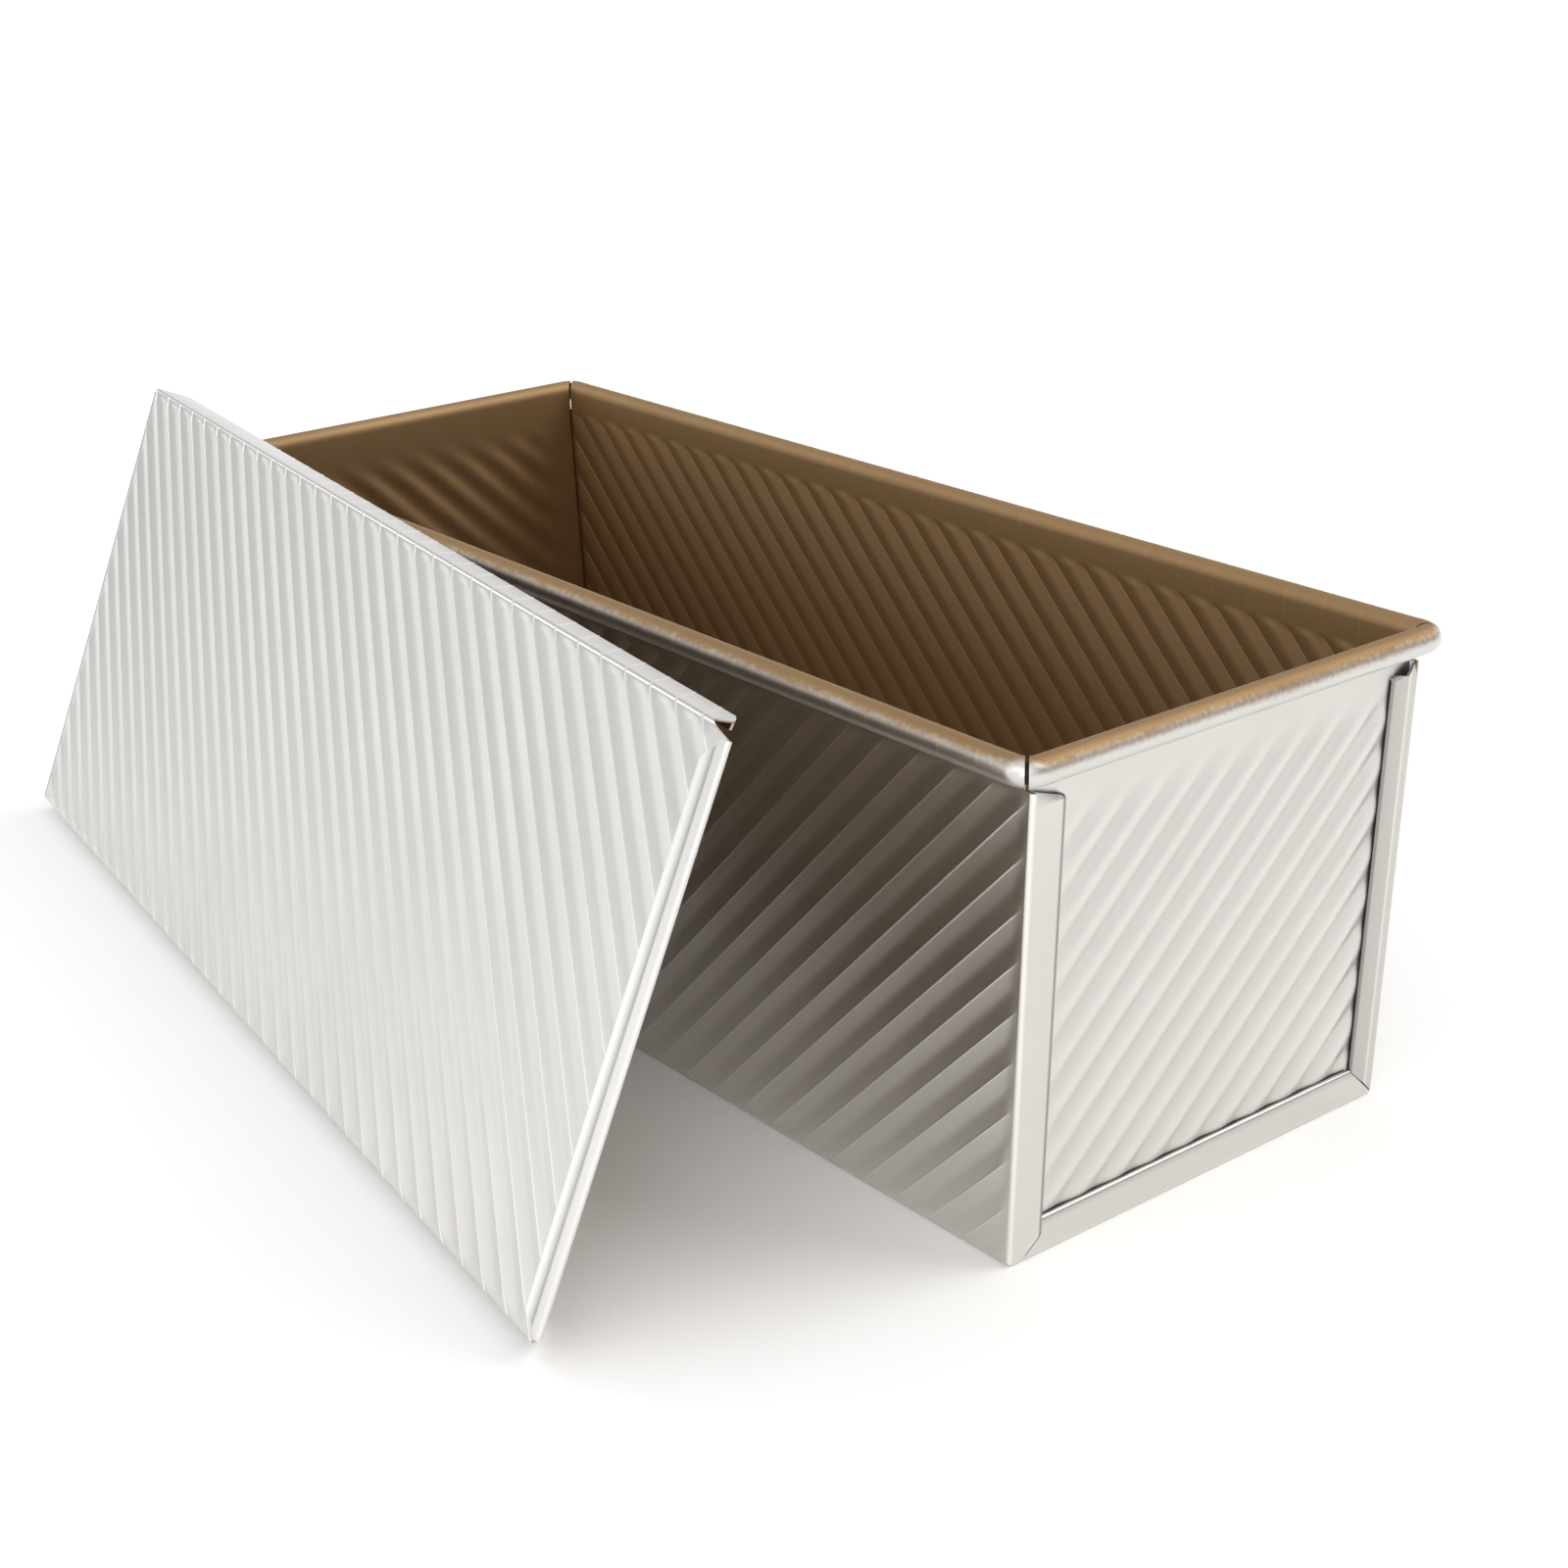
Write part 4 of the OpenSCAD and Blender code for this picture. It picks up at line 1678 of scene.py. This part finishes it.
def rolled(section: Section, side: float = 1.0) -> Fold:
    """A fold that bends a sheet along its first coordinate, in x and z.

    Args:
        section: the section line.
        side: 1 where the sheet's outer face is right of the line, and -1 where it is left.

    Returns:
        The fold.
    """

    def fold(t: Array, y: Array) -> tuple[Array, Array]:
        """Bends the sheet."""
        spot, out = section.at(t)
        return columns(spot[:, 0], y, spot[:, 1]), columns(side * out[:, 0], 0.0, side * out[:, 1])

    return fold


@dataclass
class LidSheet(RibbedSheet):
    """The lid: one sheet with a channel along each side, a hem and a turned-down end.

    A cut's points are the distance from the lid's end, and then the distance from its side or,
    on a flange, the depth. The hem's corners and edge are distances from the lower and from the
    upper side. Its relief is the drop of its outer face, and its painted light the painted
    highlight on its ridge and the painted shade in its groove, both at distances from the lid's
    end.
    """

    size: LidSize = field(default_factory=LidSize)
    hem_corners: Pair = (2.1, 2.3)
    lower_face_cut: tuple[Pair, ...] = ((3.3, 0.9),)
    lower_flange_cut: tuple[Pair, ...] = ((5.0, 2.8), (7.05, 4.6), (17.0, 10.4))
    upper_flange_cut: tuple[Pair, ...] = ((16.9, 10.4), (10.8, 6.6), (9.4, 0.9))
    upper_face_cut: tuple[Pair, ...] = ((8.1, 0.5), (6.75, 1.15), (4.16, 1.74))
    hem_edge: Pair = (5.6, 8.9)
    lower_hem_cut: tuple[Pair, ...] = ((0.9, 2.5), (2.3, 2.9), (5.7, 4.9))
    upper_hem_cut: tuple[Pair, ...] = ((6.4, 6.4), (2.7, 2.7), (1.6, 2.3))
    mouth: float = 17.6
    far_bevel: Pair = (3.0, 8.0)
    far_cut: float = 0.3
    far_slant: float = 0.6
    side_fade: Steps = (1.2, 1.7, 2.3, 3.0)
    hem_fade: Steps = (-1.0, 0.0, 1.0)
    far_fade: Steps = (2.4, 1.2)
    flange_crease: float = 1.7
    hem_relief: tuple[Pair, ...] = (
        (2.6, 0.0), (3.2, 0.12), (3.8, 0.36), (4.3, 0.42), (4.8, 0.33), (5.4, 0.17),
        (6.0, 0.06), (6.6, 0.0), (7.1, 0.0), (7.5, 0.1), (7.9, 0.42),
    )
    # Painted light on the hem: a painted highlight on its ridge and painted shade in its groove
    hem_painted_light: tuple[Pair, ...] = (
        (2.6, 0.3), (3.2, -0.1), (3.8, -0.8), (4.4, -0.9), (5.0, -0.5), (5.8, 0.3),
        (6.4, 0.9), (7.2, 0.9), (7.7, -0.2),
    )

    def __post_init__(self) -> None:
        """Works out the lid's own length, width and section."""
        s, p = self.size, self.pan
        self.length = 2 * (p.rim_x + p.bead_r) + s.extra_len
        self.width = 2 * (p.rim_y + p.bead_r) + 2 * (s.side_gap + p.sheet)
        r, w, high = p.bend - p.mid, self.width, s.channel - p.bend
        lower = [Arc((p.bend, high), r, 90, 180), Arc((p.bend, p.bend), r, 180, 270)]
        upper = [Arc((w - p.bend, p.bend), r, 270, 360), Arc((w - p.bend, high), r, 0, 90)]
        lips = (s.lip, s.channel - p.mid), (w - s.lip, s.channel - p.mid)
        self.section = Section([lips[0], *lower, *upper, lips[1]])
        self.face_start = float(self.section.dist[sum(len(arc.sample()[0]) for arc in lower)])
        self.far_bend = self.length - p.mid - p.edge_bend

    def ribs(self) -> Ribs:
        """The lid's corrugation."""
        return Ribs(self.size.depth, self.size.first)

    def pose(self) -> Matrix:
        """Where the lid leans against the pan, in millimetres.

        Returns:
            The turn and shift from the lid's own axes to the frame's.
        """
        s, p = self.size, self.pan
        reach = self.width - s.lip - p.bend
        rise = p.height + s.lean_gap - p.bend
        lean = math.asin(rise / math.hypot(reach, p.bend)) + math.atan(p.bend / reach)
        foot = (s.channel - p.bend) * math.cos(lean) + p.bend * (1 - math.sin(lean))
        deep = p.sheet + s.stand / 2 + p.bead_r + s.lean_gap + p.corner_r * math.sin(lean)
        up = (p.bead_z - foot + deep * math.cos(lean)) / math.sin(lean)
        along = self.length - s.past_corner
        shift = Matrix.Translation((-p.corner_x, -p.corner_y, p.bead_z))
        turn = Matrix.Rotation(math.pi - math.radians(s.yaw), 4, "Z")
        tip = Matrix.Rotation(math.pi - lean, 4, "X")
        return shift @ turn @ tip @ Matrix.Translation((-along, -up, -deep))

    def to_t(self, y: float) -> float:
        """Distance along the section for a place on the face."""
        return self.face_start + y - self.pan.bend

    def lower_t(self, depth: float) -> float:
        """Distance along the section for a depth on the lower flange."""
        return self.to_t(self.past_bend(depth))

    def upper_t(self, depth: float) -> float:
        """Distance along the section for a depth on the upper flange."""
        return self.to_t(self.width - self.past_bend(depth))

    def past_bend(self, depth: float) -> float:
        """Place that a depth on a flange would have on a face with no bend."""
        turn = (self.pan.bend - self.pan.mid) * math.pi / 2
        return self.pan.bend - turn - (depth - self.pan.bend)

    def face_outline(self) -> list[Pair]:
        """The face with both flanges, cut back at the corners for the hem and the far end.

        Returns:
            The outline, from the lower near corner round by the far end.
        """
        end, width, top = self.length, self.width, self.section.length
        (bevel_x, bevel_depth), slit = self.far_bevel, self.size.end_slit
        return [
            (self.size.fold_x, self.to_t(self.hem_corners[0])),
            *((x, self.to_t(y)) for x, y in self.lower_face_cut),
            *((x, self.lower_t(depth)) for x, depth in self.lower_flange_cut),
            (self.mouth, 0.0),
            (end - bevel_x, 0.0),
            (end, self.lower_t(bevel_depth)),
            (end, self.to_t(self.far_cut)),
            (self.far_bend, self.to_t(slit)),
            (self.far_bend, self.to_t(width - slit)),
            (end, self.to_t(width - self.far_cut)),
            (end, self.upper_t(bevel_depth)),
            (end - bevel_x, top),
            (self.mouth, top),
            *((x, self.upper_t(depth)) for x, depth in self.upper_flange_cut),
            *((x, self.to_t(width - y)) for x, y in self.upper_face_cut),
            (self.size.fold_x, self.to_t(width - self.hem_corners[1])),
        ]

    def rib_share(self, x: Array, t: Array) -> Array:
        """Share of the ribs' depth, which stop short of every bend.

        Args:
            x: distance from the lid's end.
            t: distance along the section.

        Returns:
            The share.
        """
        low, high, side = self.to_t(0.0), self.to_t(self.width), self.side_fade
        near, far = self.size.hem, self.far_bend
        sides = ease(t, low + side[0], low + side[-1])
        sides = sides * (1 - ease(t, high - side[-1], high - side[0]))
        ends = ease(x, near + self.hem_fade[0], near + self.hem_fade[-1])
        return sides * (ends * (1 - ease(x, far - self.far_fade[0], far)))

    def add_face(self) -> None:
        """Adds the face with its channels, ribbed at an angle."""
        s, p, width = self.size, self.pan, self.width
        blank = Blank(self.face_outline())
        blank.rows(self.section.dist[1:-1], Flat.V)
        low, high = self.to_t(0.0), self.to_t(width)
        past = 20.0
        for d in rib_lines(p.pitch, s.first, CREASED_STEPS, (self.length + width) / ROOT2):
            x = ROOT2 * d
            blank.crease((x - past, low - past), (x + width + past, high + past))
        near, far, side = s.hem, self.far_bend, self.side_fade
        ends = [near + step for step in self.hem_fade] + [far - step for step in self.far_fade]
        blank.rows(ends, Flat.U)
        sides = [low + step for step in side[1:]] + [high - step for step in side[:0:-1]]
        blank.rows(sides, Flat.V)

        def fold(x: Array, t: Array) -> tuple[Array, Array]:
            """Bends the sheet across its width."""
            spot, out = self.section.at(t)
            return columns(x, *spot.T), columns(0.0, *out.T)

        def across(x: Array, t: Array) -> Array:
            """Distance across the ribs."""
            return (x - (t - low)) / ROOT2

        def crease(x: Array, t: Array) -> Array:
            """The fine line on each crest, with its painted highlight, runs on, more strongly, over
            the channels.
            """
            return self.flange_crease - (self.flange_crease - 1) * self.rib_share(x, t)

        self.stack.add(blank, fold, across, self.rib_share, crease)

    def add_hem(self) -> None:
        """Adds the hem folded over the outer face at the near end."""
        s, p, width = self.size, self.pan, self.width
        gap = p.sheet / 4
        r = (p.sheet + gap) / 2
        turn = Arc((r + p.mid, -gap / 2), r, 90, 270, 20)
        relief = [(x, -gap / 2 - r + drop) for x, drop in self.hem_relief]
        section = Section([(s.fold_x, p.mid), turn, *relief])
        skip = len(section.points) - len(relief) - 1
        edge, (edge_low, edge_high) = self.hem_relief[-1][0], self.hem_edge
        upper = [(edge, edge_high), *self.upper_hem_cut]
        outline = [*self.lower_hem_cut, (edge, edge_low), *((x, width - y) for x, y in upper)]
        flat = [(section.reach(x, skip), y) for x, y in outline]
        blank = Blank([(0.0, outline[0][1]), *flat, (0.0, outline[-1][1])])
        blank.rows(section.dist[1:-1], Flat.U)
        painted_marks = [(section.reach(x, skip), share) for x, share in self.hem_painted_light]

        def painted_light_share(t: Array, y: Array) -> Array:
            """A painted highlight lies on the hem's ridge and painted shade in the groove beside
            it.
            """
            return np.interp(t, *np.transpose(painted_marks))

        self.stack.add(blank, rolled(section, -1.0), painted_light_share=painted_light_share, coat=(NONE, NONE))

    def add_far_end(self) -> None:
        """Adds the far end, turned down between the channels."""
        p, start, face = self.pan, self.far_bend, self.length - self.pan.mid
        bend = Arc((start, p.mid + p.edge_bend), p.edge_bend, 270, 360)
        section = Section([(start, p.mid), bend, (face, self.size.far_drop)])
        slit, end = self.size.end_slit, section.length
        low, high = slit + self.far_slant, self.width - slit - self.far_slant
        blank = Blank([(0.0, slit), (end, low), (end, high), (0.0, self.width - slit)])
        blank.rows(section.dist[1:-1], Flat.U)
        self.stack.add(blank, rolled(section))

    def add_blanks(self) -> None:
        """Adds the face, the hem and the far end."""
        self.add_face()
        self.add_hem()
        self.add_far_end()


# Studio, in metres


@dataclass(frozen=True)
class Camera:
    """The photograph's viewpoint."""

    place: Triple = (0.4812107, -0.3694668, 0.2851171)
    azimuth: float = 51.770
    elevation: float = 21.598
    roll: float = -1.529
    lens: float = 60.177
    sensor: float = 36.0
    clip: Pair = (0.01, 50.0)

    def build(self) -> bpy.types.Object:
        """Makes the camera and sets it as the scene's.

        Returns:
            The camera object.
        """
        az, el, roll = (math.radians(v) for v in (self.azimuth, self.elevation, self.roll))
        ahead = Vector((-math.sin(az) * math.cos(el), math.cos(az) * math.cos(el), -math.sin(el)))
        right = Vector((math.cos(az), math.sin(az), 0.0))
        up = right.cross(ahead)
        side = right * math.cos(roll) + up * math.sin(roll)
        over = up * math.cos(roll) - right * math.sin(roll)
        data = bpy.data.cameras.new("viewpoint")
        data.lens, data.sensor_width = self.lens, self.sensor
        data.clip_start, data.clip_end = self.clip
        obj = link_object("viewpoint", data)
        turn = Matrix((side, over, -ahead)).transposed().to_4x4()
        obj.matrix_world = Matrix.Translation(self.place) @ turn
        bpy.context.scene.camera = obj
        return obj


@dataclass(frozen=True)
class SoftBox:
    """A large square lamp."""

    name: str
    place: Triple
    aim: Triple
    size: float
    power: float

    def build(self) -> bpy.types.Object:
        """Makes the lamp and turns it to what it lights.

        Returns:
            The lamp object.
        """
        lamp = bpy.data.lights.new(self.name, "AREA")
        lamp.shape, lamp.size, lamp.energy = "SQUARE", self.size, self.power
        obj = link_object(self.name, lamp)
        obj.location = self.place
        way = Vector(self.aim) - Vector(self.place)
        obj.rotation_euler = way.to_track_quat("-Z", "Y").to_euler()
        return obj


@dataclass(frozen=True)
class BroadLamp:
    """A far, broad lamp that lights the whole floor evenly.

    Its place gives only the direction its light comes from, and its spread is how wide it is.
    """

    name: str
    place: Triple
    spread: float
    strength: float

    def build(self) -> bpy.types.Object:
        """Makes the lamp.

        Returns:
            The lamp object.
        """
        lamp = bpy.data.lights.new(self.name, "SUN")
        lamp.energy = self.strength
        lamp.angle = math.radians(self.spread)
        obj = link_object(self.name, lamp)
        obj.location = self.place
        obj.rotation_euler = Vector(self.place).to_track_quat("Z", "Y").to_euler()
        return obj


@dataclass(frozen=True)
class SkyBand:
    """A soft band of the surround between two heights, all round or towards one side.

    It rises over the heights of low and falls again over those of high.
    """

    low: Pair
    high: Pair
    level: float
    azimuth: float | None = None
    power: float = 2.0

    def value(self, make: TreeMaker, way: Sequence[bpy.types.NodeSocket]) -> bpy.types.NodeSocket:
        """Writes the band's brightness with nodes.

        Args:
            make: writes the world's tree.
            way: the x, y and z of the direction looked in.

        Returns:
            The brightness there.
        """
        x, y, z = way
        rise, fall = make.ramp(z, self.low), make.ramp(z, self.high)
        level = make.sum("MULTIPLY", rise, make.sum("SUBTRACT", 1.0, fall))
        level = make.sum("MULTIPLY", level, self.level)
        if self.azimuth is None:
            return level
        turn = math.radians(self.azimuth)
        ahead = make.sum("MULTIPLY", x, math.cos(turn))
        ahead = make.sum("MULTIPLY_ADD", y, math.sin(turn), ahead)
        flat = make.sum("MULTIPLY_ADD", y, y, make.sum("MULTIPLY", x, x))
        flat = make.sum("SQRT", make.sum("ADD", flat, 1e-6))
        share = make.sum("MAXIMUM", make.sum("DIVIDE", ahead, flat), 0.0)
        return make.sum("MULTIPLY", level, make.sum("POWER", share, self.power))


# Heights at which the surround's bands meet, as the z of the way looked in
FOOT, SHOULDER, CROWN = (-0.12, 0.02), (0.12, 0.34), (0.6, 0.85)


@dataclass
class Studio:
    """A white floor, a soft graded surround and soft lamps."""

    floor_size: float = 80.0
    floor_colour: Colour = (0.9, 0.89, 0.88, 1.0)
    floor_glow: float = 0.05
    bands: tuple[SkyBand, ...] = (
        SkyBand((-3.0, -2.0), FOOT, 0.5),
        SkyBand((-0.03, -0.005), (0.03, 0.06), 0.8),
        SkyBand(FOOT, SHOULDER, 0.34),
        SkyBand(FOOT, SHOULDER, 1.1, 135.0, 4.0),
        SkyBand(FOOT, SHOULDER, 1.4, 240.0, 6.0),
        SkyBand(SHOULDER, CROWN, 0.3),
        SkyBand(SHOULDER, CROWN, 0.5, 110.0),
        SkyBand(SHOULDER, CROWN, 0.35, 200.0),
        SkyBand(SHOULDER, CROWN, 2.1, 290.0),
        SkyBand(CROWN, (2.0, 3.0), 1.15),
    )
    lamps: tuple[SoftBox | BroadLamp, ...] = (
        BroadLamp("back_lamp", (0.75, 1.15, 1.5), 40.0, 1.25),
        SoftBox("left_box", (-1.2, -0.35, 0.85), (0.0, 0.0, 0.05), 0.4, 2.0),
        SoftBox("front_box", (0.95, -1.1, 0.3), (0.15, -0.06, 0.06), 0.4, 2.0),
    )

    def build_surround(self) -> None:
        """Makes the world: soft bands of light, the brightest of them on one side."""
        world = bpy.data.worlds.new("surround")
        bpy.context.scene.world = world
        world.use_nodes = True
        make = TreeMaker(world.node_tree)
        make.tree.nodes.clear()
        where = make.add("ShaderNodeTexCoord").outputs["Generated"]
        way = list(make.add("ShaderNodeSeparateXYZ", {0: where}).outputs)
        level: object = 0.0
        for band in self.bands:
            level = make.sum("ADD", band.value(make, way), level)
        light = make.add("ShaderNodeBackground", {"Strength": level}).outputs[0]
        make.add("ShaderNodeOutputWorld", {"Surface": light})

    def build_floor(self) -> bpy.types.Object:
        """Makes the pale floor, which looks a little brighter than the lamps make it.

        Returns:
            The floor object.
        """
        half = self.floor_size / 2
        mesh = bpy.data.meshes.new("studio_floor")
        corners = [(-half, -half, 0.0), (half, -half, 0.0), (half, half, 0.0), (-half, half, 0.0)]
        mesh.from_pydata(corners, [], [(0, 1, 2, 3)])
        obj = link_object("studio_floor", mesh)
        made = bpy.data.materials.new("studio_white")
        made.use_nodes = True
        make = TreeMaker(made.node_tree)
        rays = make.add("ShaderNodeLightPath").outputs
        seen = make.sum("MAXIMUM", rays["Is Camera Ray"], rays["Is Glossy Ray"])
        seen = make.sum("MAXIMUM", seen, rays["Is Transmission Ray"])
        feeds = {
            "Base Color": self.floor_colour,
            "Roughness": 0.9,
            "Specular IOR Level": 0.0,
            "Emission Color": (1.0, 1.0, 1.0, 1.0),
            "Emission Strength": make.sum("MULTIPLY", seen, self.floor_glow),
        }
        make.feed(made.node_tree.nodes["Principled BSDF"], feeds)
        mesh.materials.append(made)
        return obj

    def build(self) -> None:
        """Builds the surround, the floor, the lamps and the camera."""
        self.build_surround()
        self.build_floor()
        for lamp in self.lamps:
            lamp.build()
        Camera().build()


def main() -> None:
    """Builds the pieces in order, hides the CAD parts they replace and hangs each under its body,
    then builds the studio.
    """
    logging.basicConfig(level=logging.INFO, format="%(message)s")
    bpy.context.scene.view_settings.view_transform = "Standard"
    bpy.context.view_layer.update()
    ribs, wire, grain = corrugation_tree(), wire_tree(), grain_group()
    pan = SheetFinish("coated_pan_sheet", srgb(220, 218, 213)).build(grain)
    panel = SheetFinish("coated_panel_sheet", srgb(224, 222, 218)).build(grain)
    lid = SheetFinish("coated_lid_sheet", srgb(223, 222, 220)).build(grain)
    # The wire's near-black colour is painted shade: it shows only through the rim's slits, and it
    # stands in for the shade there
    slit_shade_wire = SheetFinish("wire_darkened_for_slit_shade", srgb(52, 49, 45), roughness=0.5).build(grain)
    jobs = (
        (BodySheet(), ribs, pan, "body_sheet", "pan"),
        (EndPanel(Turn.NEAR), ribs, panel, "near_end_panel", "pan"),
        (EndPanel(Turn.FAR), ribs, panel, "far_end_panel", "pan"),
        (RimWire(), wire, slit_shade_wire, "rim_wire", "pan"),
        (LidSheet(), ribs, lid, "lid_sheet", "lid"),
    )
    for maker, tree, finish, node, body in jobs:
        piece = maker.build(node, tree, finish)
        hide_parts(node)
        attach(piece, body)
        LOG.info("%s: %d faces", piece.name, len(piece.data.polygons))
    Studio().build()


if __name__ == "__main__":
    main()
